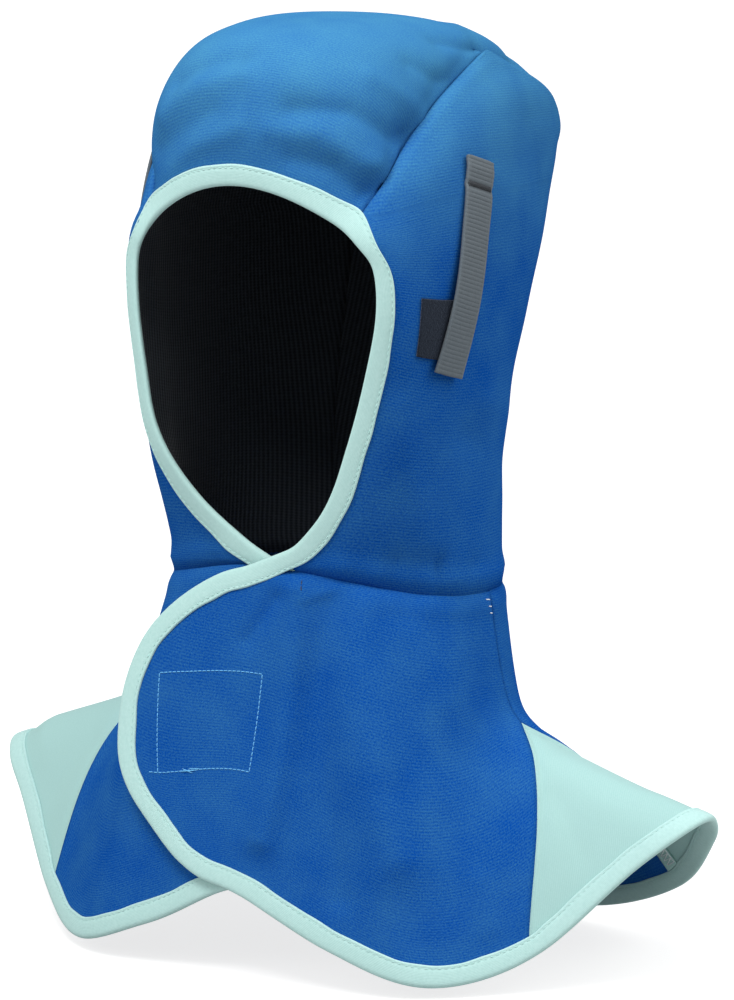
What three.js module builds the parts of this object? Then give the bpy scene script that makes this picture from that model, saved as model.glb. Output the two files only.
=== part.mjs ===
// Cloth hood with a shoulder cape: a cover for a welder's head and neck.
// Millimetres, +Z up, the face looks along -Y and the wearer's left is +X.
// The origin is the inside top of the crown, where the cover rests on a head.
import * as THREE from 'three';

// Thickness of the goods, and the gaps between pieces that lie together
const CLOTH = 1.4;
const LINING = 1.2;
const SEAM_GAP = 0.3;
const LINING_GAP = 0.9;
const LINING_STOP = 4.2;

// Folded tape over the free edges
const TAPE_WIDTH = 9;
const TAPE = 0.9;
const TAPE_CLEARANCE = 0.5;
const TAPE_NOSE = 1.5;

// Straps, their patches and the closure
const STRAP_WIDTH = 20;
const STRAP = 1.6;
const STRAP_BOW = 1.2;
const PATCH = 1.2;
const PATCH_LIFT = 0.5;
const CLOSURE = 2.6;

// Neck seam: an oval that is higher at the front
const NECK_HALF_WIDTH = 83;
const NECK_FRONT = -73;
const NECK_MIDDLE = -2;
const NECK_BACK = 69;
const NECK_HEIGHT = -270;
const NECK_FRONT_RISE = 14;

// Levels of the left side panel, from the neck seam (0) to the top of its seam (1).
// front: free edge, then from BROW_LEVEL up the crown seam; side: widest point; back: back seam.
// lean: how far the face opening is drawn to the wearer's left.
const BROW_LEVEL = 0.7;
const SIDE_LEVELS = [
  { level: 0.00, front: [-6, -73, -256], lean: 6, side: [83, -2, -270], back: [38, 61, -270] },
  { level: 0.06, front: [12, -73, -248], lean: 3, side: [82, -4, -253], back: [39, 62, -258] },
  { level: 0.14, front: [36, -75, -226], lean: -1, side: [81, -5, -232], back: [40, 64, -238] },
  { level: 0.26, front: [53, -78, -194], lean: -4, side: [81, -6, -203], back: [42, 67, -206] },
  { level: 0.38, front: [61, -80, -162], lean: -2, side: [82, -7, -172], back: [44, 75, -172] },
  { level: 0.50, front: [66, -82, -130], lean: 0, side: [85, -5, -138], back: [47, 89, -138] },
  { level: 0.62, front: [64, -84, -105], lean: 0, side: [87, 0, -106], back: [50, 102, -104] },
  { level: 0.70, front: [55, -88, -94], lean: 0, side: [87, 2, -84], back: [51, 109, -82] },
  { level: 0.78, front: [62, -72, -72], lean: 0, side: [85, 6, -66], back: [54, 115, -66] },
  { level: 0.87, front: [64, -45, -48], lean: 0, side: [82, 13, -47], back: [58, 111, -49] },
  { level: 0.94, front: [65, -15, -30], lean: 0, side: [76, 21, -31], back: [61, 89, -33] },
  { level: 1.00, front: [62, 26, -14], lean: 0, side: [62, 26, -14], back: [62, 26, -14] },
];

// Middle line of the crown panel by travel along its seam: brow, top (0), then down the back (1).
// round and square shape the arch from seam to seam.
const CROWN_ARCHES = [
  { travel: -0.300, y: -103, z: -72, round: 2.0, square: 1.0 },
  { travel: -0.257, y: -105, z: -50, round: 2.0, square: 1.1 },
  { travel: -0.200, y: -98, z: -22, round: 2.5, square: 1.9 },
  { travel: -0.143, y: -76, z: -5, round: 2.6, square: 2.2 },
  { travel: -0.071, y: -36, z: 2, round: 2.7, square: 2.4 },
  { travel: 0.000, y: 12, z: 3, round: 2.5, square: 2.2 },
  { travel: 0.080, y: 68, z: -8, round: 2.0, square: 1.6 },
  { travel: 0.145, y: 110, z: -22, round: 2.2, square: 1.6 },
  { travel: 0.220, y: 121, z: -58, round: 2.0, square: 1.1 },
  { travel: 0.400, y: 117, z: -106, round: 2.0, square: 1.0 },
  { travel: 0.586, y: 97, z: -158, round: 2.0, square: 1.0 },
  { travel: 0.793, y: 74, z: -214, round: 2.0, square: 1.0 },
  { travel: 1.000, y: 69, z: -270, round: 2.0, square: 1.0 },
];

// Cape by angle from the front (degrees): the knee where it leaves the neck, and the hem
const CAPE_LINES = [
  { angle: -25, knee: [-46, -83, -335], hem: [-53, -101, -429] },
  { angle: 0, knee: [0, -86, -330], hem: [0, -104, -408] },
  { angle: 25, knee: [46, -83, -335], hem: [53, -101, -429] },
  { angle: 45, knee: [73, -68, -340], hem: [97, -83, -444] },
  { angle: 62, knee: [86, -45, -340], hem: [134, -52, -432] },
  { angle: 78, knee: [89, -17, -336], hem: [171, -20, -392] },
  { angle: 84, knee: [90, -7, -336], hem: [186, -7, -378] },
  { angle: 90, knee: [90, 3, -336], hem: [194, 9, -371] },
  { angle: 96, knee: [89, 11, -336], hem: [191, 26, -375] },
  { angle: 102, knee: [87, 18, -336], hem: [183, 44, -387] },
  { angle: 118, knee: [76, 39, -341], hem: [150, 79, -420] },
  { angle: 140, knee: [56, 64, -345], hem: [94, 99, -441] },
  { angle: 180, knee: [0, 80, -345], hem: [0, 112, -445] },
  { angle: 220, knee: [-56, 64, -345], hem: [-94, 99, -441] },
];
const KNEE_FALL = 0.45;
const KNEE_BEND = 0.1;

// Soft folds of the front panels, by the angle of their crest
const FRONT_FOLDS = [
  { angle: 18, width: 9, height: -2.0 },
  { angle: 38, width: 9, height: 2.5 },
];
const FOLD_FADE = 3;

// Free edge of a front panel from the neck seam round the flap to the gusset, on the cape's lines
const FLAP_EDGE = [
  { angle: -7, fall: 0.010 },
  { angle: -16, fall: 0.026 },
  { angle: -28, fall: 0.070 },
  { angle: -37, fall: 0.120 },
  { angle: -44, fall: 0.180 },
  { angle: -48, fall: 0.260 },
  { angle: -48, fall: 0.355 },
  { angle: -42, fall: 0.490 },
  { angle: -34, fall: 0.605 },
  { angle: -24, fall: 0.730 },
  { angle: -14, fall: 0.865 },
  { angle: -5, fall: 0.955 },
  { angle: 8, fall: 1.000 },
  { angle: 25, fall: 1.000 },
  { angle: 44, fall: 1.000 },
  { angle: 62, fall: 1.000 },
];
const FLAP_STEPS = 15;
const HEM_STEPS = 13;

// The over flap stands off in front; the under flap lies this far inside it
const OVER_FLAP_OPEN = 0.8;
const UNDER_FLAP_DROP = 5;
const UNDER_FULL_ANGLE = 20;
const UNDER_NO_ANGLE = 55;
const UNDER_FULL_LEVEL = 0.08;
const UNDER_NO_LEVEL = 0.25;

// Shoulder gusset: a triangle from the shoulder seam to the hem
const SHOULDER_ANGLE = 90;
const GUSSET_TOP = 0.46;
const GUSSET_FRONT_ANGLE = 62;
const GUSSET_CURVE = 1.4;

// Strap, patch and closure on the panels: [level, across] and [angle, fall]
const STRAP_ENDS = {
  left: { top: [0.798, 0.378], bottom: [0.412, 0.324] },
  right: { top: [0.88, 0.2], bottom: [0.5, 0.37] },
};
const PATCH_HEIGHT = 0.103;
const PATCH_ACROSS = [-0.114, 0.011];
const PATCH_ABOVE_END = 0.025;
const CLOSURE_ANGLES = [-29, 1];
const CLOSURE_FALLS = [0.315, 0.575];

// Mesh steps
const FACE_STEPS = 12;
const SEAM_LEVELS = [0.775, 0.82, 0.87, 0.92, 0.96, 1];
const SIDE_STEPS = 10;
const CROWN_STEPS = 14;
const LINING_SIDE_STEPS = 5;
const LINING_CROWN_STEPS = 7;
const BACK_STEPS = 12;
const BACK_FALLS = [0, 0.15, 0.31, 0.46, 0.57, 0.69, 0.81];
const GUSSET_STEPS = 8;
const GUSSET_ROWS = [0, 0.16, 0.34, 0.52, 0.7];

const BLUE = { color: 0x1f5fae, roughness: 0.85, metalness: 0 };
const PALE_GREEN = { color: 0xb9e2dc, roughness: 0.85, metalness: 0 };
const BLACK_KNIT = { color: 0x16191f, roughness: 0.95, metalness: 0 };
const GREY_WEBBING = { color: 0x5c666f, roughness: 0.7, metalness: 0 };
const BLACK_LOOP = { color: 0x20262f, roughness: 0.95, metalness: 0 };

const LEFT = { sign: 1, over: true };
const RIGHT = { sign: -1, over: false };

const toRadians = THREE.MathUtils.degToRad;

// Smooth curve through a table: the column at a value of the key, with central slopes.
function along(rows, key, column, at) {
  const last = rows.length - 1;
  let i = 0;
  while (i < last - 1 && at > rows[i + 1][key]) i += 1;
  const slope = (k, part) => {
    const before = rows[Math.max(k - 1, 0)];
    const after = rows[Math.min(k + 1, last)];
    return (part(after) - part(before)) / (after[key] - before[key]);
  };
  const value = (part) => {
    const step = rows[i + 1][key] - rows[i][key];
    const t = (at - rows[i][key]) / step;
    const start = part(rows[i]) * (1 + 2 * t) * (1 - t) ** 2 + slope(i, part) * step * t * (1 - t) ** 2;
    const end = part(rows[i + 1]) * t * t * (3 - 2 * t) + slope(i + 1, part) * step * t * t * (t - 1);
    return start + end;
  };
  if (Array.isArray(rows[0][column])) {
    return new THREE.Vector3(...[0, 1, 2].map((n) => value((row) => row[column][n])));
  }
  return value((row) => row[column]);
}

// Outward level direction on the neck oval
function neckOutward(angle) {
  const reach = NECK_MIDDLE - NECK_FRONT;
  return new THREE.Vector3(Math.sin(angle) / NECK_HALF_WIDTH, -Math.cos(angle) / reach, 0).normalize();
}

// Point of the neck seam at an angle from the front
function neckPoint(angle) {
  const facing = Math.cos(angle);
  const reach = facing > 0 ? NECK_FRONT - NECK_MIDDLE : NECK_MIDDLE - NECK_BACK;
  return new THREE.Vector3(
    NECK_HALF_WIDTH * Math.sin(angle),
    NECK_MIDDLE + reach * facing,
    NECK_HEIGHT + NECK_FRONT_RISE * Math.max(facing, 0) ** 3,
  );
}

// How much of the drop the under side has at an angle from the front
function dropAt(angle) {
  return 1 - THREE.MathUtils.smoothstep(angle, UNDER_FULL_ANGLE, UNDER_NO_ANGLE);
}

// Side panel in its own half: an oval quarter from the front edge to the side, then one to the back.
function sidePoint(half, level, across) {
  const front = along(SIDE_LEVELS, 'level', 'front', level);
  const side = along(SIDE_LEVELS, 'level', 'side', level);
  const back = along(SIDE_LEVELS, 'level', 'back', level);
  front.x += along(SIDE_LEVELS, 'level', 'lean', level) * half.sign;
  if (across > 0.5) {
    const end = Math.max(Math.acos(Math.min(back.x / side.x, 1)), 1e-3);
    const turn = end * (2 * across - 1);
    return new THREE.Vector3(
      side.x * Math.cos(turn),
      side.y + (back.y - side.y) * Math.sin(turn) / Math.sin(end),
      side.z + (back.z - side.z) * (1 - Math.cos(turn)) / (1 - Math.cos(end)),
    );
  }
  const centre = Math.max(front.x, 0);
  const start = Math.asin(Math.min(front.x, 0) / side.x);
  const turn = start + (Math.PI / 2 - start) * 2 * across;
  const point = new THREE.Vector3(
    centre + (side.x - centre) * Math.sin(turn),
    side.y + (front.y - side.y) * Math.cos(turn),
    side.z + (front.z - side.z) * Math.cos(turn) ** 3,
  );
  if (half.over) return point;
  const drop = 1 - THREE.MathUtils.smoothstep(level, UNDER_FULL_LEVEL, UNDER_NO_LEVEL);
  const size = UNDER_FLAP_DROP * drop * dropAt(THREE.MathUtils.radToDeg(turn));
  return point.addScaledVector(neckOutward(turn), -size);
}

// Crown seam by travel: up the front of the side panel, then down its back
function seamPoint(travel) {
  return travel < 0 ? sidePoint(LEFT, 1 + travel, 0) : sidePoint(LEFT, 1 - travel, 1);
}

// Crown panel: an arch from seam to seam through the middle line
function crownPoint(travel, across) {
  const seam = seamPoint(travel);
  const reach = Math.sin(across * Math.PI / 2);
  const round = along(CROWN_ARCHES, 'travel', 'round', travel);
  const square = along(CROWN_ARCHES, 'travel', 'square', travel);
  const rise = Math.max(1 - Math.abs(reach) ** round, 0) ** (1 / square);
  return new THREE.Vector3(
    seam.x * reach,
    seam.y + (along(CROWN_ARCHES, 'travel', 'y', travel) - seam.y) * rise,
    seam.z + (along(CROWN_ARCHES, 'travel', 'z', travel) - seam.z) * rise,
  );
}

// Cape: each line falls from the neck seam to the knee and bends out to the hem.
function capePoint(degrees, fall) {
  const angle = Math.abs(degrees);
  const neck = neckPoint(toRadians(angle));
  const drop = along(CAPE_LINES, 'angle', 'knee', angle).sub(neck).divideScalar(KNEE_FALL);
  const spread = along(CAPE_LINES, 'angle', 'hem', angle).sub(neck).sub(drop);
  const bend = (at) => (at + Math.hypot(at, KNEE_BEND)) / 2;
  const share = (bend(fall - KNEE_FALL) - bend(-KNEE_FALL)) / (bend(1 - KNEE_FALL) - bend(-KNEE_FALL));
  const point = neck.addScaledVector(drop, fall).addScaledVector(spread, share);
  if (degrees < 0) point.x = -point.x;
  return point;
}

// Height of the soft folds of a front panel
function foldHeight(degrees, fall) {
  const fade = THREE.MathUtils.clamp(FOLD_FADE * fall, 0, 1);
  return FRONT_FOLDS.reduce((sum, fold) => {
    return sum + fade * fold.height * Math.exp(-(((Math.abs(degrees) - fold.angle) / fold.width) ** 2));
  }, 0);
}

// Front panel in its own half; angles below zero pass the middle.
function frontPoint(half, degrees, fall) {
  const point = capePoint(degrees, fall);
  const angle = toRadians(degrees);
  point.addScaledVector(neckOutward(angle), foldHeight(degrees, fall));
  if (!half.over) return point.addScaledVector(neckOutward(angle), -UNDER_FLAP_DROP * dropAt(degrees));
  if (degrees < 0) point.y += OVER_FLAP_OPEN * (capePoint(0, fall).y - point.y);
  return point;
}

// Angle of the gusset's front seam at a fall
function gussetAngle(fall) {
  const left = 1 - THREE.MathUtils.clamp((fall - GUSSET_TOP) / (1 - GUSSET_TOP), 0, 1);
  return GUSSET_FRONT_ANGLE + (SHOULDER_ANGLE - GUSSET_FRONT_ANGLE) * left ** GUSSET_CURVE;
}

// Steps a surface's own coordinates from a start so that the point moves by a given vector.
function stepOnSurface(surface, start, move) {
  const small = 1e-3;
  const origin = surface(start[0], start[1]);
  const alongA = surface(start[0] + small, start[1]).sub(origin).divideScalar(small);
  const alongB = surface(start[0], start[1] + small).sub(origin).divideScalar(small);
  const aa = alongA.dot(alongA);
  const ab = alongA.dot(alongB);
  const bb = alongB.dot(alongB);
  const ma = move.dot(alongA);
  const mb = move.dot(alongB);
  const det = aa * bb - ab * ab;
  return [start[0] + (ma * bb - mb * ab) / det, start[1] + (mb * aa - ma * ab) / det];
}

// Coordinates of the point that lies a tape's width inside each edge point, square to the edge.
// The first and last are given, because they lie on seams.
function insetEdge(surface, edge, first, last, inside) {
  const points = edge.map(([a, b]) => surface(a, b));
  const inset = edge.map((start, k) => {
    if (k === 0 || k === edge.length - 1) return null;
    const tangent = points[k + 1].clone().sub(points[k - 1]).normalize();
    const toward = surface(...inside(start)).sub(points[k]);
    const move = toward.addScaledVector(tangent, -toward.dot(tangent)).setLength(TAPE_WIDTH);
    return stepOnSurface(surface, start, move);
  });
  inset[0] = first;
  inset[edge.length - 1] = last;
  return inset;
}

// Value from 0 up at which a curve has gone a tape's width from its start
function tapeWidthAlong(curve, limit) {
  const start = curve(0);
  let low = 0;
  let high = limit;
  for (let k = 0; k < 40; k += 1) {
    const middle = (low + high) / 2;
    if (curve(middle).distanceTo(start) < TAPE_WIDTH) low = middle;
    else high = middle;
  }
  return low;
}

// Evenly spaced numbers, both ends included
function spaced(from, to, steps) {
  return Array.from({ length: steps + 1 }, (_, k) => from + (to - from) * k / steps);
}

function mixPair(a, b, t) {
  return [a[0] + (b[0] - a[0]) * t, a[1] + (b[1] - a[1]) * t];
}

// Grid inside four edge lists of coordinates that share their corners
function filledGrid(top, bottom, left, right) {
  const lastRow = left.length - 1;
  const lastColumn = top.length - 1;
  return left.map((_, i) => top.map((__, j) => {
    const t = i / lastRow;
    const u = j / lastColumn;
    return [0, 1].map((n) => {
      const ruled = (1 - t) * top[j][n] + t * bottom[j][n] + (1 - u) * left[i][n] + u * right[i][n];
      const upper = (1 - u) * top[0][n] + u * top[lastColumn][n];
      const lower = (1 - u) * bottom[0][n] + u * bottom[lastColumn][n];
      return ruled - (1 - t) * upper - t * lower;
    });
  }));
}

const pointKey = (p) => [p.x, p.y, p.z].map((v) => Math.round(v * 1000)).join(',');

// One cloth panel: grids of points that share borders, welded, with the free edge's points marked.
function makePanel(grids, tapeEdge, half, middle) {
  const points = [];
  const index = new Map();
  const idOf = (point) => {
    const key = pointKey(point);
    if (!index.has(key)) {
      index.set(key, points.length);
      points.push(point);
    }
    return index.get(key);
  };
  const placed = (p) => idOf(new THREE.Vector3(p.x * half.sign, p.y, p.z));
  const triangles = grids.flatMap((grid) => {
    const cells = gridTriangles(grid.map((row) => row.map(placed)));
    return facingFrom(middle, points, cells);
  });
  const tape = tapeEdge.map(({ edge, inner }) => ({ edge: placed(edge), inner: placed(inner) }));
  return { points, triangles, tape };
}

// Two triangles for each cell of a grid of point numbers; a cell that closes to a point gives one.
function gridTriangles(ids) {
  const triangles = [];
  for (let i = 0; i + 1 < ids.length; i += 1) {
    for (let j = 0; j + 1 < ids[0].length; j += 1) {
      triangles.push([ids[i][j], ids[i + 1][j], ids[i][j + 1]]);
      triangles.push([ids[i + 1][j], ids[i + 1][j + 1], ids[i][j + 1]]);
    }
  }
  return triangles.filter(([a, b, c]) => a !== b && b !== c && c !== a);
}

// Area vector of a triangle
function areaVector(points, [a, b, c]) {
  const first = points[b].clone().sub(points[a]);
  return first.cross(points[c].clone().sub(points[a]));
}

// Triangles turned so that together they face away from a middle point
function facingFrom(middle, points, triangles) {
  let facing = 0;
  for (const triangle of triangles) {
    facing += areaVector(points, triangle).dot(points[triangle[0]].clone().sub(middle));
  }
  return facing < 0 ? triangles.map(([a, b, c]) => [a, c, b]) : triangles;
}

// Directions square to the cloth, shared by panels that meet in a point
function sharedNormals(panels) {
  const sums = new Map();
  for (const { points, triangles } of panels) {
    for (const triangle of triangles) {
      const area = areaVector(points, triangle);
      for (const id of triangle) {
        const key = pointKey(points[id]);
        if (!sums.has(key)) sums.set(key, new THREE.Vector3());
        sums.get(key).add(area);
      }
    }
  }
  for (const panel of panels) {
    panel.normals = panel.points.map((point) => sums.get(pointKey(point)).clone().normalize());
  }
}

// Border edges of a welded panel: the ones that only one triangle has
function borderEdges({ triangles }) {
  const edges = new Map();
  for (const [a, b, c] of triangles) {
    for (const [from, to, other] of [[a, b, c], [b, c, a], [c, a, b]]) {
      const back = `${to},${from}`;
      if (edges.has(back)) edges.delete(back);
      else edges.set(`${from},${to}`, { from, to, other });
    }
  }
  return [...edges.values()];
}

// Points of a panel with its border drawn in, except along the free edge that the tape covers
function drawnIn(panel, gap) {
  const free = new Set(panel.tape.map(({ edge }) => edge));
  const moves = new Map();
  for (const { from, to, other } of borderEdges(panel)) {
    if (free.has(from) && free.has(to)) continue;
    const line = panel.points[to].clone().sub(panel.points[from]).normalize();
    const inward = panel.points[other].clone().sub(panel.points[from]);
    inward.addScaledVector(line, -inward.dot(line)).normalize();
    for (const id of [from, to]) {
      if (!moves.has(id)) moves.set(id, new THREE.Vector3());
      moves.get(id).add(inward);
    }
  }
  return panel.points.map((point, id) => {
    const moved = point.clone();
    if (moves.has(id)) moved.addScaledVector(moves.get(id).normalize(), gap);
    return moved;
  });
}

// Closed solid between two levels over a panel, measured along the panel's normals
function thickSheet(panel, low, high, gap) {
  const points = drawnIn(panel, gap);
  const count = points.length;
  const level = (height) => points.map((p, id) => p.clone().addScaledVector(panel.normals[id], height));
  const index = [];
  for (const [a, b, c] of panel.triangles) {
    index.push(a, b, c, a + count, c + count, b + count);
  }
  for (const { from, to } of borderEdges(panel)) {
    index.push(from, from + count, to, to, from + count, to + count);
  }
  return solidOf([...level(high), ...level(low)], index);
}

// Geometry from points and triangle corners
function solidOf(points, index) {
  const geometry = new THREE.BufferGeometry();
  geometry.setAttribute('position', new THREE.Float32BufferAttribute(points.flatMap((p) => p.toArray()), 3));
  geometry.setIndex(index);
  geometry.computeVertexNormals();
  return geometry;
}

// Folded tape swept along the free edges: a U in section that holds the cloth with a clearance.
// Its cells are cut the same way as the cloth's own.
function sweepTape(stations) {
  const hold = CLOTH / 2 + TAPE_CLEARANCE;
  const face = hold + TAPE;
  const section = [
    { inset: 1, height: face },
    { inset: 0, height: face },
    { inset: 0, height: face - TAPE, past: TAPE_NOSE },
    { inset: 0, height: TAPE - face, past: TAPE_NOSE },
    { inset: 0, height: -face },
    { inset: 1, height: -face },
    { inset: 1, height: -hold },
    { inset: 0, height: -hold, past: TAPE_CLEARANCE },
    { inset: 0, height: hold, past: TAPE_CLEARANCE },
    { inset: 1, height: hold },
  ];
  const points = stations.flatMap(({ edge, inner, edgeNormal, innerNormal }) => {
    const outward = edge.clone().sub(inner).normalize();
    return section.map(({ inset, height, past = 0 }) => {
      const base = inset ? inner.clone() : edge.clone();
      base.addScaledVector(inset ? innerNormal : edgeNormal, height);
      return base.addScaledVector(outward, past);
    });
  });
  const size = section.length;
  const index = [];
  stations.forEach((_, k) => {
    const next = (k + 1) % stations.length;
    for (let n = 0; n < size; n += 1) {
      const m = (n + 1) % size;
      const [a, b, c, d] = [k * size + n, next * size + n, next * size + m, k * size + m];
      if (stations[k].reversed === (section[n].inset === 1)) index.push(a, b, d, b, c, d);
      else index.push(a, b, c, a, c, d);
    }
  });
  return facingOut(solidOf(points, index));
}

// Reverses a closed geometry whose faces point in
function facingOut(geometry) {
  const position = geometry.getAttribute('position');
  const corner = (k) => new THREE.Vector3().fromBufferAttribute(position, geometry.index.getX(k));
  let volume = 0;
  for (let k = 0; k < geometry.index.count; k += 3) {
    volume += corner(k).dot(corner(k + 1).cross(corner(k + 2)));
  }
  if (volume < 0) {
    geometry.setIndex([...geometry.index.array].reverse());
    geometry.computeVertexNormals();
  }
  return geometry;
}

// Free edge of a side panel from the neck to the brow, with the tape's inner line
function faceEdge(half) {
  const surface = (level, across) => sidePoint(half, level, across);
  const start = SIDE_LEVELS[1].level;
  const edge = spaced(start, BROW_LEVEL, FACE_STEPS).map((level) => [level, 0]);
  const neckAcross = tapeWidthAlong((t) => (t === 0 ? surface(start, 0) : surface(0, t)), 0.5);
  const browLevel = BROW_LEVEL + tapeWidthAlong((t) => surface(BROW_LEVEL + t, 0), 0.2);
  const inner = insetEdge(surface, edge, [0, neckAcross], [browLevel, 0], ([level]) => [level, 0.2]);
  return { surface, edge, inner, browLevel };
}

function stationsOf(surface, edge, inner) {
  return edge.map((at, k) => ({ edge: surface(...at), inner: surface(...inner[k]) }));
}

// Strip of cloth under the tape, from the edge to the tape's inner line
function stripOf(stations) {
  return [stations.map(({ edge }) => edge), stations.map(({ inner }) => inner)];
}

const HOOD_MIDDLE = new THREE.Vector3(0, 0, -130);
const CAPE_MIDDLE = new THREE.Vector3(0, 0, -420);

// Levels at which the rows of both side panels and the crown panel meet along the seams
function rowLevels() {
  return [...faceEdge(LEFT).inner.map(([level]) => level), ...SEAM_LEVELS];
}

// Side panel of the hood: the strip under the tape and rows from there to the back seam
function sidePanel(half) {
  const { surface, edge, inner } = faceEdge(half);
  const backLevels = rowLevels();
  const stations = stationsOf(surface, edge, inner);
  const starts = [...inner, ...SEAM_LEVELS.map((level) => [level, 0])];
  const body = (steps) => starts.map((start, row) => {
    const end = [backLevels[row], 1];
    return spaced(0, 1, steps).map((t) => surface(...mixPair(start, end, t)));
  });
  const panel = makePanel([stripOf(stations), body(SIDE_STEPS)], stations, half, HOOD_MIDDLE);
  const backing = makePanel([body(LINING_SIDE_STEPS)], [], half, HOOD_MIDDLE);
  return { ...panel, backing };
}

// Crown panel: its rows meet the side panels' rows along the seams
function crownPanel() {
  const brow = BROW_LEVEL - 1;
  const { browLevel } = faceEdge(LEFT);
  const rise = SEAM_LEVELS.map((level) => level - 1);
  const descent = rowLevels().map((level) => 1 - level).reverse().slice(1);
  const withSteps = (steps) => {
    const acrosses = spaced(-1, 1, steps);
    const edge = acrosses.map((across) => [brow, across]);
    const ends = [[browLevel - 1, -1], [browLevel - 1, 1]];
    const inner = insetEdge(crownPoint, edge, ends[0], ends[1], ([, across]) => [brow + 0.02, across]);
    const stations = stationsOf(crownPoint, edge, inner);
    const rows = [...rise, ...descent].map((travel) => acrosses.map((across) => crownPoint(travel, across)));
    return { stations, body: [stations.map((station) => station.inner), ...rows] };
  };
  const { stations, body } = withSteps(CROWN_STEPS);
  const panel = makePanel([stripOf(stations), body], stations, LEFT, HOOD_MIDDLE);
  const backing = makePanel([withSteps(LINING_CROWN_STEPS).body], [], LEFT, HOOD_MIDDLE);
  return { ...panel, backing };
}

// Free edge of a front panel as coordinates: from the neck round the flap and along the hem
function flapEdge() {
  const rows = FLAP_EDGE.map((row, place) => ({ ...row, place }));
  const at = (place) => [along(rows, 'place', 'angle', place), along(rows, 'place', 'fall', place)];
  const turn = rows.length - 6;
  const flap = spaced(0, turn, FLAP_STEPS).map(at);
  const hem = spaced(turn, rows.length - 1, HEM_STEPS).map(at);
  return [...flap, ...hem.slice(1)];
}

// Front panel of the cape: the strip under the tape and a grid from there to the seams
function frontPanel(half, hoodStation) {
  const surface = (angle, fall) => frontPoint(half, angle, fall);
  const edge = flapEdge();
  const hemEnd = 1 - tapeWidthAlong((t) => surface(gussetAngle(1 - t), 1 - t), 0.3);
  const seamEnd = [gussetAngle(hemEnd), hemEnd];
  const neckAngle = hoodStation.neckAngle;
  const inner = insetEdge(surface, [[neckAngle, 0], ...edge], [neckAngle, 0], seamEnd, () => [25, 0.5]);
  const stations = [hoodStation, ...stationsOf(surface, edge, inner.slice(1))];
  const left = inner.slice(0, FLAP_STEPS + 2);
  const bottom = inner.slice(FLAP_STEPS + 1);
  const top = spaced(neckAngle, SHOULDER_ANGLE, HEM_STEPS).map((angle) => [angle, 0]);
  const right = spaced(0, hemEnd, FLAP_STEPS + 1).map((fall) => [gussetAngle(fall), fall]);
  const body = filledGrid(top, bottom, left, right).map((row) => row.map((at) => surface(...at)));
  return makePanel([stripOf(stations), body], stations, half, CAPE_MIDDLE);
}

// Shoulder gusset: rows that widen from its point to the tape, and the strip under the tape
function gussetPanel(half) {
  const backAngle = 2 * SHOULDER_ANGLE - GUSSET_FRONT_ANGLE;
  const edge = spaced(GUSSET_FRONT_ANGLE, backAngle, GUSSET_STEPS).map((angle) => [angle, 1]);
  const seamEnd = (mirror) => {
    const angleAt = (fall) => (mirror ? 2 * SHOULDER_ANGLE - gussetAngle(fall) : gussetAngle(fall));
    const fall = 1 - tapeWidthAlong((t) => capePoint(angleAt(1 - t), 1 - t), 0.3);
    return [angleAt(fall), fall];
  };
  const inner = insetEdge(capePoint, edge, seamEnd(false), seamEnd(true), ([angle]) => [angle, 0.9]);
  const stations = stationsOf(capePoint, edge, inner);
  const rows = GUSSET_ROWS.map((t) => inner.map(([, hemFall], k) => {
    const fall = GUSSET_TOP + (hemFall - GUSSET_TOP) * t;
    const front = gussetAngle(fall);
    const share = k / GUSSET_STEPS;
    return capePoint(front + (2 * SHOULDER_ANGLE - 2 * front) * share, fall);
  }));
  const body = [...rows, stations.map((station) => station.inner)];
  return makePanel([stripOf(stations), body], stations, half, CAPE_MIDDLE);
}

// Cape line past the middle of the back
function backPoint(degrees, fall) {
  const point = capePoint(degrees > 180 ? 360 - degrees : degrees, fall);
  if (degrees > 180) point.x = -point.x;
  return point;
}

// Back panel of the cape between the two shoulders
function backPanel() {
  const seamAngle = (fall) => 2 * SHOULDER_ANGLE - gussetAngle(fall);
  const hemAngles = spaced(seamAngle(1), 360 - seamAngle(1), BACK_STEPS);
  const edge = hemAngles.map((angle) => [angle, 1]);
  const fall = 1 - tapeWidthAlong((t) => backPoint(seamAngle(1 - t), 1 - t), 0.3);
  const ends = [[seamAngle(fall), fall], [360 - seamAngle(fall), fall]];
  const inner = insetEdge(backPoint, edge, ends[0], ends[1], ([angle]) => [angle, 0.9]);
  const stations = stationsOf(backPoint, edge, inner);
  const rows = BACK_FALLS.map((at) => {
    return spaced(seamAngle(at), 360 - seamAngle(at), BACK_STEPS).map((angle) => backPoint(angle, at));
  });
  const body = [...rows, stations.map((station) => station.inner)];
  return makePanel([stripOf(stations), body], stations, LEFT, CAPE_MIDDLE);
}

// Sheet over a patch of a side panel, lifted off the cloth by a height that may vary
function overSide(half, grid, lift, thickness) {
  const surface = (at) => sidePoint(half, at[0], at[1]);
  const panel = makePanel([grid.map((row) => row.map(surface))], [], half, HOOD_MIDDLE);
  sharedNormals([panel]);
  const columns = grid[0].length;
  panel.points = panel.points.map((point, id) => {
    const height = lift(Math.floor(id / columns) / (grid.length - 1));
    return point.clone().addScaledVector(panel.normals[id], height);
  });
  return thickSheet(panel, 0, thickness, 0);
}

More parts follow.
